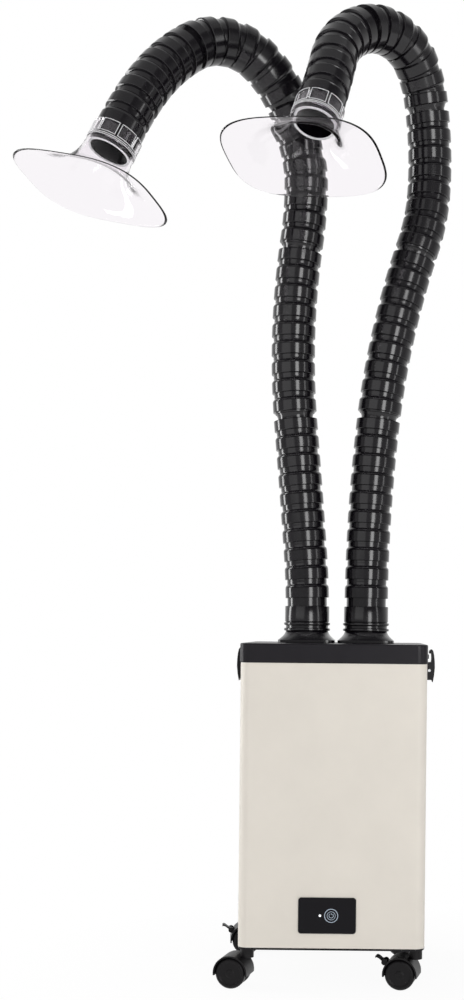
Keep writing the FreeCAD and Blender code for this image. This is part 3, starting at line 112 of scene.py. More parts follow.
# Points that a flare's curve has for each row of its table
FLARE_STEPS = 5
# Columns of the collar's grid that each slot takes, and the slack in finding its rows
SLOT_COLUMNS, SLOT_SLACK = 2, 0.1 * MM
# Share of the collar's wall that is left at the rim, and the power by which the wall thins
RIM_WALL, WALL_POWER = 0.22, 4
# Bead round a tab, white as a painted highlight of its edge: millimetres out from its line and above the
# collar; points on a side; distance from the tab's sides and from its ends
BEAD = np.array([(0.45, -0.25), (0.28, 0.35), (-0.28, 0.35), (-0.45, -0.25)])
TAB_STEPS, TAB_MARGIN, TAB_START = 12, 0.7 * MM, 0.8 * MM
# White line on a ridge, a painted highlight: millimetres from its middle and above its crest
RIDGE_LINE = np.array([(-0.42, -0.6), (-0.25, 0.15), (0.25, 0.15), (0.42, -0.6)])
# Stop ring at the bore's end, white as a painted highlight: millimetres along the collar and from its axis
STOP = np.array([(28.6, 25.4), (28.6, 28.8), (29.3, 28.7), (29.6, 28.2), (29.6, 26.0), (29.3, 25.4)])

# Duct flanges: distance of each from the lid's middle, points round one
FLANGE_OFFSET, FLANGE_FACETS = 42 * MM, 144
# Foot of a flange: millimetres of height and half width, squareness; squareness of a circle
FLANGE_FOOT, ROUND = [(0, 39.4, 7.0), (0.5, 40, 7.0), (3.4, 40, 7.0)], 2
# Flange flare: share of the height, share of the shrink from foot to neck, squareness
FLANGE_FLARE_SHARES = np.array([(0.0, 0.0, 7.0), (0.2, 0.30, 5.0), (0.45, 0.62, 3.4), (0.7, 0.85, 2.5),
                                (1.0, 1.0, 2.0)])
# Millimetres: where the flare starts and its height, its half width at the foot and its shrink
FLARE_START, FLARE_HEIGHT, FLARE_FOOT, FLARE_SHRINK = 4, 13, 40, 10
# Ridges of a flange: height of each one's start and of the neck's end above it; height and radius on a ridge
FLANGE_RIDGES = [(17, 7.4), (25, 4.6)]
FLANGE_RIDGE = [(0.2, 31.8), (0.8, 32.8), (2, 33), (3.2, 32.8), (3.9, 31.8), (4.2, 30.2)]
FLANGE_NECK = 30.2
# Cuff of a flange, over its end and down its bore: height, radius
FLANGE_CUFF = [(30, 31.0), (30.6, 31.5), (51.2, 31.5), (52, 30.9), (52, 27.5), (37.8, 27.5), (37.7, 25),
               (0, 25)]

# Wheel: share of the width plus millimetres along the axle, share of the radius plus millimetres from it;
# rounding of its corners, and the most of a side that a rounding takes
WHEEL_OUTLINE = np.array([(0, 0, 0, 3.05), (0, 0, 1, -4.5), (0, 1, 1, -3.5), (0, 1, 1, -1.5), (0, 2.5, 1, 0),
                          (1, -2.5, 1, 0), (1, 0, 1, -2.5), (1, -0.2, 1, -5), (1, -1.2, 1, -6),
                          (1, -1.2, 0, 6), (1, -0.4, 0, 5), (1, -0.4, 0, 0.2), (1, -3, 0, 0.2),
                          (1, -3, 0, 3.05)])
WHEEL_ROUNDING, MOST_OF_SIDE = 0.9 * MM, 0.45

# Touch key print: front and back of the ink on the panel; rings as inner and outer radius in millimetres, the
# last one an arc with its first and last angle; corners of the power mark's stem, across and up
INK_FRONT, INK_BACK = -0.12 * MM, 0.02 * MM
KEY_RINGS = [(8.4, 9.2, 0, 360), (5.2, 5.7, 0, 360), (2.6, 3.2, 125, 415)]
KEY_STEM = np.array([(-0.3, 1.2), (0.3, 1.2), (0.3, 3.6), (-0.3, 3.6)])
# Sides of a block whose front corners are 0 to 3 and back corners 4 to 7
BLOCK_SIDES = np.array([(0, 1, 2, 3), (7, 6, 5, 4), (0, 4, 5, 1), (1, 5, 6, 2), (2, 6, 7, 3), (3, 7, 4, 0)])

# Darkest and palest share of a moulded colour, and the numbers of a Mix node's two values
SHADES, MIX_A, MIX_B = (0.94, 1.05), 2, 3
# Half width of the floor, the share of it near the object that is plain white, the sky's strength as a light
FLOOR_REACH, FLOOR_WHITE, SKY_LIGHT = 6.0, 0.95, 0.35
# Soft boxes: name, place, aim, width and height, watts
LAMPS = [("front_box", (0.9, -2.3, 0.85), (0.0, 0.0, 0.8), (0.7, 1.4), 22),
         ("left_fill", (-1.5, -2.0, 1.5), (0.0, 0.0, 0.85), (2.2, 1.6), 8.5),
         ("left_strip", (-1.7, 0.3, 0.9), (0.0, 0.0, 0.8), (0.34, 2.0), 20),
         ("right_strip", (1.75, -0.9, 0.9), (0.0, 0.0, 0.8), (0.2, 2.0), 4),
         ("top_box", (-0.3, -0.5, 2.9), (0.0, 0.0, 0.5), (3.0, 3.0), 10)]
# Camera: place, sensor height and focal length in millimetres; shift as shares of the sensor, roll in
# radians, distance of the far clip
CAMERA_PLACE, CAMERA_SENSOR, CAMERA_LENS = (0.045, -1.93, 0.43), 36, 48.67
CAMERA_SHIFT, CAMERA_ROLL, CAMERA_END = (-0.136, 0.1293), 0.01047, 50


def measure(name, millimetres, description):
    """A length for a property group."""
    return FloatProperty(name=name, description=description, default=millimetres * MM, unit="LENGTH")


def tint(name, description, srgb):
    """A colour for a property group, as sRGB."""
    return FloatVectorProperty(name=name, description=description, subtype="COLOR_GAMMA", default=srgb)


class ArmSizes(PropertyGroup):
    """Sizes of the ring arms."""
    pitch: measure("Ring pitch", 26, "Ring to ring on a straight run")
    skirt: measure("Skirt radius", 31, "Outer radius of a ring")
    bead: measure("Bead radius", 28.1, "Narrow part between two skirts")
    bore: measure("Bore radius", 26, "Inner radius of the rings")
    ball: measure("Ball radius", 28, "Ball where two sections meet")
    ball_gap: measure("Ball clearance", 0.45, "Between a ball and its cup")
    lip: measure("Cup depth", 6, "First skirt to the ball's centre")
    neck_bore: measure("Neck bore", 23, "Bore through a ball")
    skirt_share: FloatProperty(name="Skirt share", description="Part of a ring that is skirt", default=0.55)
    facets: IntProperty(name="Facets", description="Points round a ring", default=72)


class HoodSizes(PropertyGroup):
    """Sizes of the clear hoods."""
    collar: measure("Collar radius", 32.5, "Outer radius of the collar")
    collar_height: measure("Collar height", 30, "Length on the duct")
    depth: measure("Flare depth", 54, "Collar to rim")
    rim_long: measure("Rim length", 213.4, "Long side of the rim")
    rim_short: measure("Rim width", 143, "Short side of the rim")
    wall: measure("Collar wall", 3.4, "Wall of the collar")
    ridge: measure("Ridge height", 0.5, "Height of the ridges")
    slot_depth: measure("Slot depth", 18.5, "Slots between collar tabs")
    tabs: IntProperty(name="Tabs", description="Collar tabs", default=8)


class CasterSizes(PropertyGroup):
    """Sizes of the caster wheels."""
    radius: measure("Wheel radius", 20.5, "Over the tread")
    width: measure("Wheel width", 13, "Width of one wheel")
    web: measure("Web gap", 5, "Middle of the fork to a wheel")


class Colours(PropertyGroup):
    """Main colours, as sRGB."""
    shell: tint("Shell", "Powder coat", (0.886, 0.862, 0.824))
    lid: tint("Lid", "Moulded ABS", (0.108, 0.100, 0.118))
    duct: tint("Ducts", "Moulded polypropylene", (0.062, 0.052, 0.070))


# Surfaces


def grid_quads(rows, columns, wrap_u=True, wrap_v=True):
    """Point numbers of the quads of a grid, joined round in u and in v where asked."""
    here = np.arange(rows * columns).reshape(rows, columns)
    ahead = np.roll(here, -1, axis=0)
    quads = np.stack([here, np.roll(here, -1, axis=1), np.roll(ahead, -1, axis=1), ahead], axis=-1)
    return quads[:rows if wrap_u else rows - 1, :columns if wrap_v else columns - 1]


def outward(points, quads):
    """Quads turned round if the sum of their corner products, six times the volume, is negative."""
    corner = points[quads]
    volume = np.einsum("ij,ij->i", corner[:, 0], np.cross(corner[:, 1], corner[:, 2])).sum()
    volume += np.einsum("ij,ij->i", corner[:, 0], np.cross(corner[:, 2], corner[:, 3])).sum()
    return quads[:, ::-1] if volume < 0 else quads


def mesh_object(name, points, quads, sharp):
    """An object from points and quads, smooth but for edges sharper than an angle in degrees."""
    mesh = bpy.data.meshes.new(name)
    mesh.from_pydata(points.tolist(), [], quads.tolist())
    mesh.validate()
    mesh.polygons.foreach_set("use_smooth", np.ones(len(mesh.polygons), dtype=bool))
    mesh.set_sharp_from_angle(angle=math.radians(sharp))
    mesh.update()
    piece = bpy.data.objects.new(name, mesh)
    bpy.context.scene.collection.objects.link(piece)
    return piece


def surface(name, grid, wrap_u=True, wrap_v=True, keep=None, sharp=40):
    """One object from a grid of points, without the quads that are not kept, pointing outwards."""
    quads = grid_quads(*grid.shape[:2], wrap_u, wrap_v)
    quads = quads[keep[:quads.shape[0], :quads.shape[1]]] if keep is not None else quads.reshape(-1, 4)
    points = grid.reshape(-1, 3)
    return mesh_object(name, points, outward(points, quads), sharp)


def joined(name, *parts, sharp=40):
    """One object from several (points, quads) pairs, each pointing outwards."""
    shifts = np.cumsum([0] + [len(points) for points, quads in parts])
    quads = np.concatenate([outward(*part) + shift for part, shift in zip(parts, shifts)])
    return mesh_object(name, np.concatenate([points for points, quads in parts]), quads, sharp)


def ring_grid(grid):
    """Points and quads of a grid that closes on itself both ways."""
    return grid.reshape(-1, 3), grid_quads(*grid.shape[:2]).reshape(-1, 4)


def circle(facets):
    """Angles spaced evenly round a circle, in radians."""
    return np.arange(facets) * 2 * math.pi / facets


def eased(table, steps):
    """A table's columns drawn as Catmull-Rom curves through its rows, with steps points to a row."""
    padded = np.vstack([2 * table[0] - table[1], table, 2 * table[-1] - table[-2]])
    t = (np.arange(steps) / steps)[None, :, None]
    a, b, c, d = (padded[k:len(table) - 1 + k, None, :] for k in range(4))
    curve = b + 0.5 * t * (c - a + t * (2 * a - 5 * b + 4 * c - d + t * (3 * (b - c) + d - a)))
    return np.vstack([curve.reshape(-1, table.shape[1]), table[-1:]])


def heading(side, lean):
    """Unit vectors from +Z, swung sideways towards +X and leaning to the front, in degrees."""
    swing, tip = np.radians(side), np.radians(lean)
    return np.stack([np.sin(swing) * np.cos(tip), -np.sin(tip), np.cos(swing) * np.cos(tip)], axis=-1)


def across(side):
    """Unit vectors square to the headings, in the plane of the side swing."""
    swing = np.radians(side)
    return np.stack([np.cos(swing), np.zeros_like(swing), -np.sin(swing)], axis=-1)


def arm_start(name):
    """Where an arm leaves its cuff: the place of its swivel."""
    return np.array(JOINTS[name + "_arm_swivel"]["pos_m"])


def arm_rings(name, sizes):
    """Skirt starts, skirt lengths, side and lean of every ring: running sums of the runs' steps."""
    runs = np.array(ARM_RUNS[name], float)
    steps = np.repeat(runs[:, 1:], runs[:, 0].astype(int), axis=0)
    pitch, side, lean = sizes.pitch * steps[:, 0], np.cumsum(steps[:, 1]), np.cumsum(steps[:, 2])
    dome = heading(side - steps[:, 1] / 2, lean - steps[:, 2] / 2)
    dome = dome * (pitch * (1 - sizes.skirt_share))[:, None]
    skirt = heading(side, lean) * (pitch * sizes.skirt_share)[:, None]
    points = arm_start(name) + np.cumsum(dome + skirt, axis=0) - skirt
    return points, pitch * sizes.skirt_share, side, lean


def tube(points, side, lean, radius, facets):
    """Circles of the given radii square to their headings, as a grid."""
    turn = circle(facets)
    axis, right = heading(side, lean), across(side)
    up = np.cross(axis, right)
    spread = np.cos(turn)[None, :, None] * right[:, None, :] + np.sin(turn)[None, :, None] * up[:, None, :]
    return points[:, None, :] + radius[:, None, None] * spread


def stations(origin, step, side, lean, table):
    """Rows (x, y, z, side, lean, radius): each origin plus a share of its step, with side and lean going in a
    straight line from their first value to their second, for each (share, radius) of the table."""
    share, radius = table[:, 0], table[:, 1]
    place = origin[:, None, :] + step[:, None, :] * share[None, :, None]
    turn = side[0][:, None] + (side[1] - side[0])[:, None] * share
    tip = lean[0][:, None] + (lean[1] - lean[0])[:, None] * share
    return np.concatenate([place, turn[..., None], tip[..., None],
                           np.broadcast_to(radius[None, :, None], (*turn.shape, 1))], axis=-1)


def along_axis(origin, side, lean, table):
    """Stations on one straight axis, for a table of (distance, radius)."""
    sides, leans = np.array([side]), np.array([lean])
    axis = heading(side, lean)
    return stations(origin[None, :], axis[None, :], (sides, sides), (leans, leans), np.array(table))[0]


def sphere_table(radius, first, last, steps):
    """(distance, radius) pairs on a sphere between two distances from its centre."""
    angle = np.linspace(math.asin(first / radius), math.asin(last / radius), steps)
    return np.stack([radius * np.sin(angle), radius * np.cos(angle)], axis=-1)


def section_rows(rings, number, sizes, start):
    """Closed profile of one stiff section, outside and then back inside: skirts with a crisp edge on one side
    and a round shoulder on the other, beads between them, a socket or spigot behind and a ball or plain tip
    in front."""
    points, length, side, lean = rings
    ends = np.cumsum([0] + SECTION_RINGS)
    k = np.arange(ends[number - 1], ends[number])
    axis = heading(side, lean)
    tail = points + axis * length[:, None]
    wide, bead = sizes.skirt, sizes.bead
    skirt = np.array([(0, wide - SKIRT_DROP), (SKIRT_EDGE, wide), (1 - SKIRT_EDGE, wide),
                      (1, wide - SKIRT_DROP)])
    gap = np.array([(share, bead + (wide - bead) * rise) for share, rise in SHOULDER_SHARES])
    if number >= FIRST_TURNED_SECTION:
        gap = np.stack([1 - gap[::-1, 0], gap[::-1, 1]], axis=-1)
    bands = stations(points[k], axis[k] * length[k, None], (side[k], side[k]), (lean[k], lean[k]), skirt)
    inner = k[:-1]
    beads = stations(tail[inner], points[inner + 1] - tail[inner], (side[inner], side[inner + 1]),
                     (lean[inner], lean[inner + 1]), gap)
    body = np.concatenate([np.concatenate([bands[:-1], beads], axis=1).reshape(-1, 6), bands[-1]])
    back = k[::-1] if number == 1 else k[:0:-1]
    bore = stations(points[back], axis[back], (side[back], side[back]), (lean[back], lean[back]),
                    np.array([(0, sizes.bore)])).reshape(-1, 6)
    before, behind = section_start(rings, number, sizes, start), section_back(rings, number, sizes, start)
    return np.concatenate([before, body, section_end(rings, number, sizes), bore, behind])


def section_start(rings, number, sizes, start):
    """Outside of a section before its first skirt: the spigot in the cuff, or the lip of the socket."""
    points, length, side, lean = rings
    bead = sizes.bead
    if number == 1:
        reach = float(np.linalg.norm(points[0] - start))
        depth, radius = SPIGOT
        return along_axis(start, side[0], lean[0],
                          [(-depth, radius), (0, radius), (SEAT, bead), (reach - SEAT, bead)])
    first = sum(SECTION_RINGS[:number - 1])
    lip = SOCKET_LIPS[number] * MM
    cup = math.sqrt((sizes.ball + sizes.ball_gap) ** 2 - (sizes.lip + lip) ** 2)
    rows = [(-lip + along * MM, bead + out * MM) for along, out in LIP_ROUND]
    rows[0] = (-lip, max(rows[0][1], cup + LIP_WALL))
    if number >= FIRST_TURNED_SECTION:
        rows += [(-LIP_RISE * lip * (1 - share), bead + (sizes.skirt - bead) * (1 - (1 - share) ** 2) ** 0.5)
                 for share in LIP_RISE_SHARES]
    else:
        rows.append((-LIP_STEP, bead))
    return along_axis(points[first], side[first], lean[first], rows)


def section_end(rings, number, sizes):
    """Outside of a section after its last skirt and the end of its bore: the neck and ball, or the tip in the
    hood."""
    points, length, side, lean = rings
    final = sum(SECTION_RINGS[:number]) - 1
    turn = (side[final], lean[final])
    tail = points[final] + heading(*turn) * length[final]
    if number == len(SECTION_RINGS):
        depth, radius = TIP
        return along_axis(tail, *turn, [(SEAT, radius), (depth, radius), (depth, sizes.bore)])
    shoulder = SHOULDERS[number] * MM
    rows = [(shoulder * share, sizes.bead + END_SHOULDER_FOOT + (sizes.skirt - sizes.bead) * rise)
            for share, rise in END_SHOULDER_SHARES] if shoulder else []
    rows.append((shoulder + SEAT, NECK))
    centre = points[final + 1] + heading(side[final + 1], lean[final + 1]) * sizes.lip
    ball = sphere_table(sizes.ball, -math.sqrt(sizes.ball ** 2 - NECK ** 2), BALL_REACH, BALL_STEPS)
    return np.concatenate([along_axis(tail, *turn, rows), along_axis(centre, *turn, ball),
                           along_axis(centre, *turn, [(BALL_REACH, sizes.neck_bore)]),
                           along_axis(tail, *turn, [(0, sizes.neck_bore)])])


def section_back(rings, number, sizes, start):
    """Inside of a section behind its first ring: the spigot's bore, or the cup that holds a ball."""
    points, length, side, lean = rings
    first = sum(SECTION_RINGS[:number - 1])
    turn = (side[first], lean[first])
    if number == 1:
        return along_axis(start, *turn, [(0, sizes.neck_bore), (-SPIGOT[0], sizes.neck_bore)])
    cup = sizes.ball + sizes.ball_gap
    table = sphere_table(cup, math.sqrt(cup ** 2 - sizes.bore ** 2), -sizes.lip - SOCKET_LIPS[number] * MM,
                         CUP_STEPS)
    return along_axis(points[first] + heading(*turn) * sizes.lip, *turn, table)


def oblong(long, short, square, facets):
    """Superellipse outlines |x/a|^n + |y/b|^n = 1, one row for each set of sizes, spaced evenly by angle."""
    turn = circle(facets)
    c, s = np.cos(turn)[None, :], np.sin(turn)[None, :]
    power = (2 / square)[:, None]
    return np.sign(c) * np.abs(c) ** power * long[:, None], np.sign(s) * np.abs(s) ** power * short[:, None]


def turned_wheel(profile, centre, axle, forward, facets=64):
    """A closed (distance along the axle, radius) profile spun round the axle."""
    turn = circle(facets)
    up = np.cross(axle, forward)
    spread = np.cos(turn)[None, :, None] * forward + np.sin(turn)[None, :, None] * up
    return centre + profile[:, 0, None, None] * axle + profile[:, 1, None, None] * spread


def rounded(points, radius, steps=4):
    """A closed outline with each corner replaced by a quadratic curve that starts a radius away from it, or
    a little under half a side where that is less."""
    before, after = np.roll(points, 1, axis=0) - points, np.roll(points, -1, axis=0) - points
    first = np.linalg.norm(before, axis=1, keepdims=True)
    last = np.linalg.norm(after, axis=1, keepdims=True)
    start = points + before / first * np.minimum(radius, first * MOST_OF_SIDE)
    end = points + after / last * np.minimum(radius, last * MOST_OF_SIDE)
    t = np.linspace(0, 1, steps)[None, :, None]
    curve = (1 - t) ** 2 * start[:, None] + 2 * t * (1 - t) * points[:, None] + t ** 2 * end[:, None]
    return curve.reshape(-1, points.shape[1])


def on_collar(place, along, turn, radius):
    """Points round a collar's axis: a distance along it, an angle from its long side and a radius."""
    origin, axis, right, up = place
    spread = np.cos(turn)[..., None] * right + np.sin(turn)[..., None] * up
    return origin + along[..., None] * axis + radius[..., None] * spread


def tab_frame(place, middle, reach, height, radius):
    """A low bead round one tab: four rectangles, outer foot, two crests and inner foot, wrapped on the
    collar."""
    t, one = np.linspace(-1, 1, TAB_STEPS + 1)[:-1], np.ones(TAB_STEPS)
    side, rise = np.concatenate([t, one, -t, -one]), np.concatenate([-one, t, one, -t])
    spread, lift = BEAD[:, 0, None] * MM, BEAD[:, 1, None] * MM
    turn = middle + (reach + spread) * side / radius
    along = height / 2 + TAB_START + (height / 2 + spread) * rise
    return ring_grid(on_collar(place, along, turn, np.broadcast_to(radius + lift, turn.shape)))


def collar_ring(place, profile, facets=96):
    """A closed (distance along the collar, radius) profile carried round the collar's axis."""
    shape = (len(profile), facets)
    along, radius = (np.broadcast_to(profile[:, k, None] * MM, shape) for k in (0, 1))
    return ring_grid(on_collar(place, along, np.broadcast_to(circle(facets), shape), radius))


def band(centre, inner, outer, first, last, facets=96):
    """A flat ring or arc of ink in the XZ plane between two radii and two angles in degrees."""
    closed = last - first >= 360
    turn = np.radians(np.linspace(first, last, facets, endpoint=not closed))
    loop = np.array([(inner, INK_FRONT), (outer, INK_FRONT), (outer, INK_BACK), (inner, INK_BACK)])
    x = loop[:, 0, None] * np.cos(turn)[None, :]
    z = loop[:, 0, None] * np.sin(turn)[None, :]
    y = np.broadcast_to(loop[:, 1, None], x.shape)
    grid = np.stack([x, y, z], axis=-1) + centre
    if closed:
        return ring_grid(grid)
    index = np.arange(x.size).reshape(x.shape)
    ends = np.array([index[:, 0], index[::-1, -1]])
    return grid.reshape(-1, 3), np.concatenate([grid_quads(*x.shape, wrap_v=False).reshape(-1, 4), ends])


# Finishes


def linear(colour):
    """sRGB, as a hex word or three shares, to linear RGBA."""
    if isinstance(colour, str):
        colour = [int(colour[k:k + 2], 16) / 255 for k in (1, 3, 5)]
    value = np.array(colour[:3], float)
    value = np.where(value <= 0.04045, value / 12.92, ((value + 0.055) / 1.055) ** 2.4)
    return (*value.tolist(), 1.0)


def node(tree, kind, inputs=None, **settings):
    """Add a node, set its settings, and set or link its inputs."""
    made = tree.nodes.new(kind)
    for key, value in settings.items():
        setattr(made, key, value)
    for key, value in (inputs or {}).items():
        if isinstance(value, bpy.types.NodeSocket):
            tree.links.new(value, made.inputs[key])
        else:
            made.inputs[key].default_value = value
    return made


def blank(name):
    """A new material with an empty node tree, and the object's coordinates in it."""
    material = bpy.data.materials.new(name)
    material.use_nodes = True
    tree = material.node_tree
    tree.nodes.clear()
    return material, tree, node(tree, "ShaderNodeTexCoord").outputs["Object"]


def shaded(material, inputs):
    """Give a material one Principled shader."""
    shader = node(material.node_tree, "ShaderNodeBsdfPrincipled", inputs)
    node(material.node_tree, "ShaderNodeOutputMaterial", {"Surface": shader.outputs["BSDF"]})
    return material


def moulded(name, colour, roughness, grain_mm, depth, level=0.5, spread=0.06):
    """A moulded plastic or coat: an even colour, a fine skin of bumps and slight changes of gloss from
    handling."""
    material, tree, place = blank(name)
    grain = node(tree, "ShaderNodeTexNoise", {"Vector": place, "Scale": 1 / (grain_mm * MM), "Detail": 2.0})
    cloud = node(tree, "ShaderNodeTexNoise", {"Vector": place, "Scale": 14.0, "Detail": 4.0,
                                              "Roughness": 0.6})
    gloss = node(tree, "ShaderNodeMapRange", {"Value": cloud.outputs["Fac"], "From Min": 0.3, "From Max": 0.7,
                                              "To Min": max(roughness - spread, 0.02),
                                              "To Max": roughness + spread})
    shade = node(tree, "ShaderNodeMix", {"Factor": cloud.outputs["Fac"]}, data_type="RGBA")
    base = np.array(linear(colour))[:3]
    shade.inputs["A"].default_value = (*(base * SHADES[0]), 1)
    shade.inputs["B"].default_value = (*np.minimum(base * SHADES[1], 1), 1)
    bump = node(tree, "ShaderNodeBump", {"Height": grain.outputs["Fac"], "Strength": depth,
                                         "Distance": 0.1 * MM})
    return shaded(material, {"Base Color": shade.outputs["Result"], "Roughness": gloss.outputs["Result"],
                             "IOR": 1.49, "Specular IOR Level": level, "Normal": bump.outputs["Normal"]})


def metal(name, colour, roughness, line_mm):
    """Plated or ground steel: metallic, with fine drawn lines along Z that break up the gloss."""
    material, tree, place = blank(name)
    drawn = node(tree, "ShaderNodeMapping", {"Vector": place, "Scale": (1.0, 1.0, 0.08)})
    lines = node(tree, "ShaderNodeTexNoise", {"Vector": drawn.outputs["Vector"], "Scale": 1 / (line_mm * MM),
                                              "Detail": 3.0})
    gloss = node(tree, "ShaderNodeMapRange", {"Value": lines.outputs["Fac"], "To Min": roughness - 0.08,
                                              "To Max": roughness + 0.12})
    bump = node(tree, "ShaderNodeBump", {"Height": lines.outputs["Fac"], "Strength": 0.15,
                                         "Distance": 0.05 * MM})
    return shaded(material, {"Base Color": linear(colour), "Metallic": 1.0,
                             "Roughness": gloss.outputs["Result"], "Normal": bump.outputs["Normal"]})


def clear_polycarbonate():
    """Injection-moulded polycarbonate: clear, faintly warm grey, with slow ripples left by the mould. Its
    index is set low, so that the thin wall hides little of what is behind it."""
    material, tree, place = blank("clear_polycarbonate")
    ripple = node(tree, "ShaderNodeTexNoise", {"Vector": place, "Scale": 22.0, "Detail": 2.0})
    bump = node(tree, "ShaderNodeBump", {"Height": ripple.outputs["Fac"], "Strength": 0.08,
                                         "Distance": 1 * MM})
    return shaded(material, {"Base Color": linear("#F8F5F8"), "Roughness": 0.0, "IOR": 1.22,
                             "Transmission Weight": 1.0, "Specular IOR Level": 0.2,
                             "Normal": bump.outputs["Normal"]})


def painted_edge_highlight():
    """Painted highlight on the clear collar's edges: white and matt, with a fine grain."""
    material, tree, place = blank("painted_edge_highlight")
    grain = node(tree, "ShaderNodeTexNoise", {"Vector": place, "Scale": 1 / (0.5 * MM), "Detail": 2.0})
    gloss = node(tree, "ShaderNodeMapRange", {"Value": grain.outputs["Fac"], "To Min": 0.3, "To Max": 0.55})
    return shaded(material, {"Base Color": linear("#F3F4F5"), "IOR": 1.58,
                             "Roughness": gloss.outputs["Result"], "Transmission Weight": 0.15})


def lit(name, colour, strength):
    """A printed mark or a lens that glows a little."""
    material, tree, place = blank(name)
    speck = node(tree, "ShaderNodeTexNoise", {"Vector": place, "Scale": 1 / (0.6 * MM), "Detail": 1.0})
    gloss = node(tree, "ShaderNodeMapRange", {"Value": speck.outputs["Fac"], "To Min": 0.25, "To Max": 0.5})
    return shaded(material, {"Base Color": linear(colour), "Emission Color": linear(colour),
                             "Emission Strength": strength, "Roughness": gloss.outputs["Result"]})


def give(piece, material):
    """Put one material on a piece."""
    piece.data.materials.clear()
    piece.data.materials.append(material)


class EXTRACTOR_OT_finishes(Operator):
    """Give every carried-over solid the finish of its real material"""
    bl_idname = "extractor.finishes"
    bl_label = "Finishes"

    def execute(self, context):
        colours = context.scene.extractor_colours
        # Moulded: colour, roughness, millimetres of grain, depth of grain, specular level, spread of gloss
        finish = {
            # Epoxy-polyester powder coat on sheet steel: warm white with a fine orange peel
            "shell_coat": moulded("cream_powder_coat", colours.shell, 0.42, 1.1, 0.22, 0.3, 0.05),
            # Black powder coat on the floor pan, matt
            "tray_steel": moulded("black_powder_coat", "#1A181B", 0.5, 0.9, 0.3, 0.2),
            # Satin ABS with a spark-eroded grain
            "lid_plastic": moulded("satin_black_abs", colours.lid, 0.34, 0.7, 0.2, 0.2),
            # Acetal latch, smooth and slightly waxy
            "latch_plastic": moulded("black_acetal", "#151316", 0.32, 0.8, 0.12, 0.25),
            # Polypropylene from a polished mould, glossy with faint flow waves
            "duct_plastic": moulded("glossy_black_polypropylene", colours.duct, 0.16, 9.0, 0.08, 0.5, 0.04),
            # Glass-filled nylon of the forks and wheels, dull with a fine grain
            "caster_plastic": moulded("black_nylon", "#141214", 0.4, 0.6, 0.25, 0.22),
            "wheel_plastic": moulded("black_wheel_nylon", "#0F0D0F", 0.46, 0.6, 0.3, 0.22),
            # Cast acrylic, polished
            "panel_gloss": moulded("gloss_black_acrylic", "#0D0B10", 0.06, 20.0, 0.03, 0.15, 0.02),
            # Glass-filled polyamide of the grille, the inlet and the fan case
            "case_plastic": moulded("black_polyamide", "#222224", 0.5, 0.8, 0.3, 0.3),
            # Cast iron under thick grey paint
            "motor_iron": moulded("painted_cast_iron", "#5A5B5E", 0.5, 1.5, 0.4),
            # Pressed granules, dull and rough
            "carbon": moulded("activated_carbon", "#1F1F1F", 0.8, 2.5, 0.9),
            # Matted fibres, soft and off-white
            "media": moulded("filter_fleece", "#E8E7E0", 0.85, 1.2, 0.8),
            # Foamed rubber, matt
            "seal_rubber": moulded("black_rubber", "#1A1A1A", 0.7, 0.8, 0.4),
            # Lacquered glass-fibre board
            "board": moulded("green_solder_mask", "#1F5A33", 0.35, 1.0, 0.2),
            # Metals, with roughness and the spacing of drawn lines: bright zinc, dull zinc, bare brass
            "plain_steel": metal("zinc_plated_steel", "#C4C6C8", 0.32, 0.4),
            "deck_steel": metal("galvanised_steel", "#B9BCBE", 0.42, 3.0),
            "electrode": metal("brass", "#C9A85A", 0.3, 0.5),
            # Milky lens over a lamp, with the strength of its glow
            "lens": lit("white_lens", "#F2F5FA", 1.0),
            "hood_clear": clear_polycarbonate(),
        }
        for entry in frame["record"]["subparts"]:
            give(frame["nodes"][entry["node"]], finish[entry["material_slot"]])
        return {"FINISHED"}


def finish_of(slot_name):
    """The material already on the solids of a record slot."""
    entry = next(item for item in frame["record"]["subparts"] if item["material_slot"] == slot_name)
    return frame["nodes"][entry["node"]].data.materials[0]


def dress(piece, body, slot_name, *nodes_replaced):
    """Ride on a body, take a slot's finish and stand for the given solids."""
    give(piece, finish_of(slot_name))
    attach(piece, body)
    if nodes_replaced:
        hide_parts(*nodes_replaced)


class EXTRACTOR_OT_ring_arms(Operator):
    """Draw both arms, section by section, with skirts, domes and ball joints"""
    bl_idname = "extractor.ring_arms"
    bl_label = "Ring arms"

    def execute(self, context):
        sizes = context.scene.extractor_arms
        for name in SIDES:
            rings = arm_rings(name, sizes)
            for number in range(1, len(SECTION_RINGS) + 1):
                rows = section_rows(rings, number, sizes, arm_start(name))
                grid = tube(rows[:, :3], rows[:, 3], rows[:, 4], rows[:, 5], sizes.facets)
                piece = surface("%s_ring_section_%d" % (name, number), grid, sharp=32)
                dress(piece, "%s_arm_%d" % (name, number), "duct_plastic", "%s_duct_%d" % (name, number))
        return {"FINISHED"}


def collar_place(name, arms):
    """Origin, axis and the two rolled cross directions of a hood, from the last ring of its arm."""
    points, length, side, lean = (value[-1] for value in arm_rings(name, arms))
    axis, right = heading(side, lean), across(side)
    up = np.cross(axis, right)
    roll = math.radians(HOOD_ROLL[name])
    right, up = right * math.cos(roll) + up * math.sin(roll), up * math.cos(roll) - right * math.sin(roll)
    return points + axis * (length + SEAT), axis, right, up


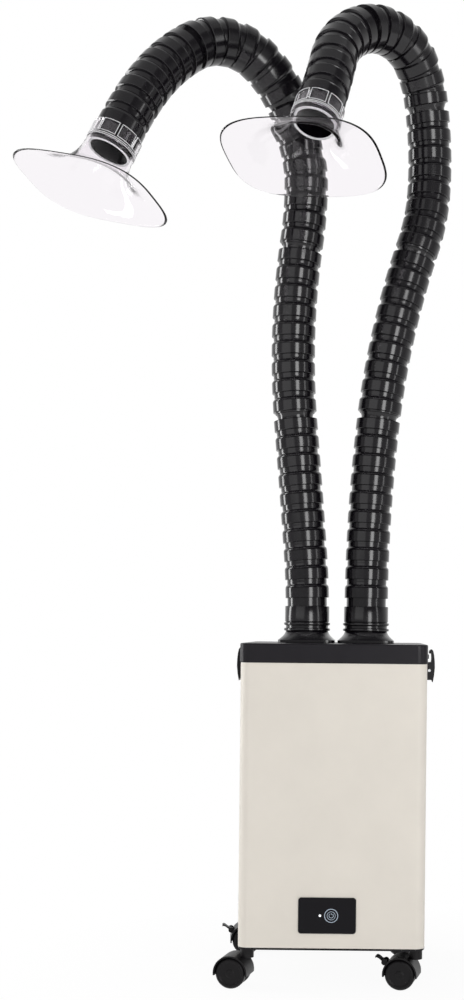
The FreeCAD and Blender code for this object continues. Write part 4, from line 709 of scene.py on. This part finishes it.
def hood_wall(piece, grid, origin, axis, sizes, grow):
    """Turn a hood's sheet away from its axis and give it a wall towards the bore, thick at the collar and
    thinning towards the rim."""
    mesh = piece.data
    count = len(mesh.polygons)
    normal, centre = np.empty(count * 3), np.empty(count * 3)
    mesh.polygons.foreach_get("normal", normal)
    mesh.polygons.foreach_get("center", centre)
    normal, centre = normal.reshape(-1, 3), centre.reshape(-1, 3)
    offset = centre - origin
    radial = offset - (offset @ axis)[:, None] * axis
    if np.mean(np.einsum("ij,ij->i", normal, radial)) < 0:
        mesh.flip_normals()
    group = piece.vertex_groups.new(name="wall")
    weights = np.repeat(RIM_WALL + (1 - RIM_WALL) * (1 - grow) ** WALL_POWER, grid.shape[1])
    levels, inverse = np.unique(np.round(weights, 3), return_inverse=True)
    for level_index, level in enumerate(levels.tolist()):
        group.add(np.nonzero(inverse == level_index)[0].tolist(), level, "REPLACE")
    wall = piece.modifiers.new("wall", "SOLIDIFY")
    wall.thickness = sizes.wall
    wall.offset = -1
    wall.vertex_group = "wall"
    wall.use_quality_normals = True


class EXTRACTOR_OT_clear_hoods(Operator):
    """Draw the clear hoods: slotted collar, double ridge, trumpet flare and oblong rim"""
    bl_idname = "extractor.clear_hoods"
    bl_label = "Clear hoods"

    def execute(self, context):
        sizes, arms = context.scene.extractor_hoods, context.scene.extractor_arms
        collar = np.zeros(len(COLLAR_ROWS))
        ridge = sizes.ridge * sum(np.exp(-((COLLAR_ROWS - place) / RIDGE_SPREAD) ** 2) for place in RIDGES)
        flare = eased(HOOD_FLARE_SHARES, FLARE_STEPS)[1:]
        along = np.concatenate([COLLAR_ROWS * MM, sizes.collar_height + sizes.depth * flare[:, 0]])
        grow = np.concatenate([collar, flare[:, 1]])
        square = np.concatenate([collar + ROUND, flare[:, 2]])
        swell = np.concatenate([ridge, np.zeros(len(flare))])
        long = sizes.collar + (sizes.rim_long / 2 - sizes.collar) * grow + swell
        short = sizes.collar + (sizes.rim_short / 2 - sizes.collar) * grow + swell
        x, y = oblong(long, short, square, HOOD_FACETS)
        column = np.arange(HOOD_FACETS) % (HOOD_FACETS // sizes.tabs)
        keep = ~((along[:, None] < sizes.slot_depth - SLOT_SLACK) & (column[None, :] < SLOT_COLUMNS))
        for name in SIDES:
            origin, axis, right, up = collar_place(name, arms)
            grid = origin + along[:, None, None] * axis + x[..., None] * right + y[..., None] * up
            piece = surface(name + "_clear_hood", grid, wrap_u=False, keep=keep, sharp=50)
            hood_wall(piece, grid, origin, axis, sizes, grow)
            dress(piece, name + "_hood", "hood_clear", name + "_hood")
        return {"FINISHED"}


class EXTRACTOR_OT_collar_edges(Operator):
    """Draw each hood's painted edge highlights: a bead round every tab, two ridge lines and the bore's stop"""
    bl_idname = "extractor.collar_edges"
    bl_label = "Collar edges"

    def execute(self, context):
        sizes, arms = context.scene.extractor_hoods, context.scene.extractor_arms
        share = 2 * math.pi / sizes.tabs
        slot = share * SLOT_COLUMNS * sizes.tabs / HOOD_FACETS
        middles = [share * k + (slot + share) / 2 for k in range(sizes.tabs)]
        reach = sizes.collar * (share - slot) / 2 - TAB_MARGIN
        height = sizes.slot_depth - 2 * TAB_START
        crest = (sizes.collar + sizes.ridge) / MM
        profiles = [RIDGE_LINE + (ridge, crest) for ridge in RIDGES] + [STOP]
        # White matt finish: a painted highlight where the clear collar's edges catch light
        highlight_finish = painted_edge_highlight()
        for name in SIDES:
            place = collar_place(name, arms)
            parts = [tab_frame(place, middle, reach, height, sizes.collar) for middle in middles]
            parts += [collar_ring(place, profile) for profile in profiles]
            piece = joined(name + "_collar_edges", *parts, sharp=30)
            dress(piece, name + "_hood", "hood_clear")
            give(piece, highlight_finish)
        return {"FINISHED"}


class EXTRACTOR_OT_duct_flanges(Operator):
    """Draw the duct flanges: square foot, concave flare, two ridges and a cuff"""
    bl_idname = "extractor.duct_flanges"
    bl_label = "Duct flanges"

    def execute(self, context):
        flare = eased(FLANGE_FLARE_SHARES, FLARE_STEPS).tolist()
        rows = FLANGE_FOOT + [(FLARE_START + FLARE_HEIGHT * up, FLARE_FOOT - FLARE_SHRINK * shrink, square)
                              for up, shrink, square in flare]
        for start, end in FLANGE_RIDGES:
            rows += [(start + up, radius, ROUND) for up, radius in FLANGE_RIDGE + [(end, FLANGE_NECK)]]
        rows = np.array(rows + [(up, radius, ROUND) for up, radius in FLANGE_CUFF])
        x, y = oblong(rows[:, 1] * MM, rows[:, 1] * MM, rows[:, 2], FLANGE_FACETS)
        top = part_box("lid")[1][2]
        for name, sign in SIDES.items():
            centre = np.array([sign * FLANGE_OFFSET, 0, top])
            grid = centre + np.stack([x, y, np.broadcast_to(rows[:, :1] * MM, x.shape)], axis=-1)
            piece = surface(name + "_duct_flange", grid, sharp=38)
            dress(piece, "lid", "duct_plastic", name + "_flange")
        return {"FINISHED"}


class EXTRACTOR_OT_caster_wheels(Operator):
    """Draw the twin wheels: rounded tread, dished face and a raised cap"""
    bl_idname = "extractor.caster_wheels"
    bl_label = "Caster wheels"

    def execute(self, context):
        sizes = context.scene.extractor_casters
        outline = WHEEL_OUTLINE[:, [0, 2]] * (sizes.width, sizes.radius) + WHEEL_OUTLINE[:, [1, 3]] * MM
        profile = rounded(outline, WHEEL_ROUNDING)
        for name in CASTERS:
            centre = np.array(JOINTS[name + "_roll"]["pos_m"])
            axle = np.array(JOINTS[name + "_roll"]["axis"])
            forward = np.cross(axle, np.array([0, 0, 1.0]))
            parts = [ring_grid(turned_wheel(profile, centre + axle * sign * sizes.web, axle * sign, forward))
                     for sign in (-1, 1)]
            piece = joined(name + "_twin_wheels", *parts, sharp=30)
            dress(piece, name + "_wheel_pair", "wheel_plastic", name + "_wheels")
        return {"FINISHED"}


class EXTRACTOR_OT_key_print(Operator):
    """Print the touch key on the panel: two rings and a power mark"""
    bl_idname = "extractor.key_print"
    bl_label = "Key print"

    def execute(self, context):
        middle = np.mean(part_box("touch_electrode"), axis=0)
        centre = np.array([middle[0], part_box("control_panel")[0][1], middle[2]])
        parts = [band(centre, inner * MM, outer * MM, first, last) for inner, outer, first, last in KEY_RINGS]
        stem = [np.insert(KEY_STEM * MM, 1, level, axis=1) for level in (INK_FRONT, INK_BACK)]
        piece = joined("touch_key_print", *parts, (np.concatenate(stem) + centre, BLOCK_SIDES))
        # Screen-printed ink, pale blue and faintly lit from behind
        give(piece, lit("pale_blue_print", "#A9B6C4", 0.25))
        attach(piece, "cabinet")
        return {"FINISHED"}


class EXTRACTOR_OT_stage(Operator):
    """Set the pale floor, the soft lights and the camera"""
    bl_idname = "extractor.stage"
    bl_label = "Stage"

    def execute(self, context):
        scene = context.scene
        scene.view_settings.view_transform = "Standard"
        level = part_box("front_left_wheels")[0][2]
        ends = (-FLOOR_REACH, FLOOR_REACH)
        grid = np.array([[(x, y, level) for x in ends] for y in ends])
        floor = surface("floor", grid, wrap_u=False, wrap_v=False)
        give(floor, self.floor_paint())
        self.sky(scene)
        for lamp in LAMPS:
            self.lamp(scene, *lamp)
        self.view(scene)
        return {"FINISHED"}

    def floor_paint(self):
        """White paper: a faint shadow near the object where it is seen, fading into the white all round, and
        plain matt paper where it only throws light back."""
        material, tree, place = blank("white_paper")
        path = node(tree, "ShaderNodeLightPath")
        plain = self.either(tree, path.outputs["Is Camera Ray"], path.outputs["Is Glossy Ray"])
        seen = self.either(tree, plain, path.outputs["Is Transmission Ray"])
        flat = node(tree, "ShaderNodeMapping", {"Vector": place, "Scale": (1, 1, 0)})
        reach = node(tree, "ShaderNodeVectorMath", {0: flat.outputs[0]}, operation="LENGTH")
        fade = node(tree, "ShaderNodeMapRange", {"Value": reach.outputs["Value"], "From Min": 0.2,
                                                 "From Max": 0.5})
        paper = node(tree, "ShaderNodeBsdfDiffuse", {"Color": linear("#F4F4F4")})
        white = node(tree, "ShaderNodeEmission", {"Color": (1, 1, 1, 1), "Strength": 1.0})
        near = node(tree, "ShaderNodeMixShader", {0: FLOOR_WHITE, 1: paper.outputs[0], 2: white.outputs[0]})
        shown = node(tree, "ShaderNodeMixShader", {0: fade.outputs[0], 1: near.outputs[0],
                                                   2: white.outputs[0]})
        mixed = node(tree, "ShaderNodeMixShader", {0: seen, 1: paper.outputs[0], 2: shown.outputs[0]})
        node(tree, "ShaderNodeOutputMaterial", {"Surface": mixed.outputs[0]})
        return material

    def either(self, tree, first, second):
        """1 where one of two tests of a ray holds."""
        return node(tree, "ShaderNodeMath", {0: first, 1: second}, operation="MAXIMUM").outputs[0]

    def sky(self, scene):
        """White where it is seen directly, through clear plastic or by a reflection of what is behind the
        object, dim where a reflection shows the room in front, and softer as a source of light."""
        world = bpy.data.worlds.new("studio")
        world.use_nodes = True
        tree = world.node_tree
        tree.nodes.clear()
        path = node(tree, "ShaderNodeLightPath")
        way = node(tree, "ShaderNodeTexCoord").outputs["Generated"]
        ahead = node(tree, "ShaderNodeSeparateXYZ", {0: way})
        front = node(tree, "ShaderNodeMapRange", {"Value": ahead.outputs["Z"], "From Min": 0.25,
                                                  "From Max": 0.55, "To Min": 0.45, "To Max": 0.16})
        room = node(tree, "ShaderNodeMapRange", {"Value": ahead.outputs["Y"], "From Min": 0.0,
                                                 "From Max": 0.8, "To Min": front.outputs["Result"],
                                                 "To Max": 1.0})
        soft = node(tree, "ShaderNodeMix", {0: path.outputs["Is Glossy Ray"], MIX_A: SKY_LIGHT,
                                            MIX_B: room.outputs["Result"]})
        clear = self.either(tree, path.outputs["Is Camera Ray"], path.outputs["Is Transmission Ray"])
        strength = node(tree, "ShaderNodeMix", {0: clear, MIX_A: soft.outputs[0], MIX_B: 1.0})
        sky = node(tree, "ShaderNodeBackground", {"Color": (1, 1, 1, 1), "Strength": strength.outputs[0]})
        node(tree, "ShaderNodeOutputWorld", {"Surface": sky.outputs[0]})
        scene.world = world

    def lamp(self, scene, name, place, aim, size, power):
        """A rectangular soft box turned to its aim, with its width level."""
        light = bpy.data.lights.new(name, "AREA")
        light.shape = "RECTANGLE"
        light.size, light.size_y = size
        light.energy = power
        box = bpy.data.objects.new(name, light)
        back = np.array(place, float) - np.array(aim, float)
        back = back / np.linalg.norm(back)
        right = np.cross((0, 0, 1), back)
        right = right / np.linalg.norm(right)
        direction = Matrix(np.stack([right, np.cross(back, right), back], axis=1).tolist())
        box.matrix_world = Matrix.Translation(place) @ direction.to_4x4()
        scene.collection.objects.link(box)

    def view(self, scene):
        """Camera in front of the cabinet, level, shifted to the photographed frame and rolled slightly."""
        lens = bpy.data.cameras.new("photo_view")
        lens.sensor_fit = "VERTICAL"
        lens.sensor_height = CAMERA_SENSOR
        lens.lens = CAMERA_LENS
        lens.shift_x, lens.shift_y = CAMERA_SHIFT
        lens.clip_end = CAMERA_END
        camera = bpy.data.objects.new("photo_view", lens)
        turn = Matrix.Rotation(math.radians(90), 4, "X") @ Matrix.Rotation(CAMERA_ROLL, 4, "Z")
        camera.matrix_world = Matrix.Translation(CAMERA_PLACE) @ turn
        scene.collection.objects.link(camera)
        scene.camera = camera


OPERATORS = [EXTRACTOR_OT_finishes, EXTRACTOR_OT_ring_arms, EXTRACTOR_OT_clear_hoods,
             EXTRACTOR_OT_collar_edges, EXTRACTOR_OT_duct_flanges, EXTRACTOR_OT_caster_wheels,
             EXTRACTOR_OT_key_print, EXTRACTOR_OT_stage]


class EXTRACTOR_PT_panel(Panel):
    """The pieces in the order in which they are made"""
    bl_label = "Extractor"
    bl_idname = "EXTRACTOR_PT_panel"
    bl_space_type = "VIEW_3D"
    bl_region_type = "UI"
    bl_category = "Extractor"

    def draw(self, context):
        for operator in OPERATORS:
            self.layout.operator(operator.bl_idname)


GROUPS = {"extractor_arms": ArmSizes, "extractor_hoods": HoodSizes, "extractor_casters": CasterSizes,
          "extractor_colours": Colours}


def register():
    for group in GROUPS.values():
        bpy.utils.register_class(group)
    for operator in OPERATORS:
        bpy.utils.register_class(operator)
    bpy.utils.register_class(EXTRACTOR_PT_panel)
    for name, group in GROUPS.items():
        setattr(bpy.types.Scene, name, PointerProperty(type=group))


def unregister():
    for name in GROUPS:
        delattr(bpy.types.Scene, name)
    bpy.utils.unregister_class(EXTRACTOR_PT_panel)
    for operator in reversed(OPERATORS):
        bpy.utils.unregister_class(operator)
    for group in reversed(list(GROUPS.values())):
        bpy.utils.unregister_class(group)


def main():
    register()
    bpy.ops.extractor.finishes()
    bpy.ops.extractor.ring_arms()
    bpy.ops.extractor.clear_hoods()
    bpy.ops.extractor.collar_edges()
    bpy.ops.extractor.duct_flanges()
    bpy.ops.extractor.caster_wheels()
    bpy.ops.extractor.key_print()
    bpy.ops.extractor.stage()


if __name__ == "__main__":
    main()
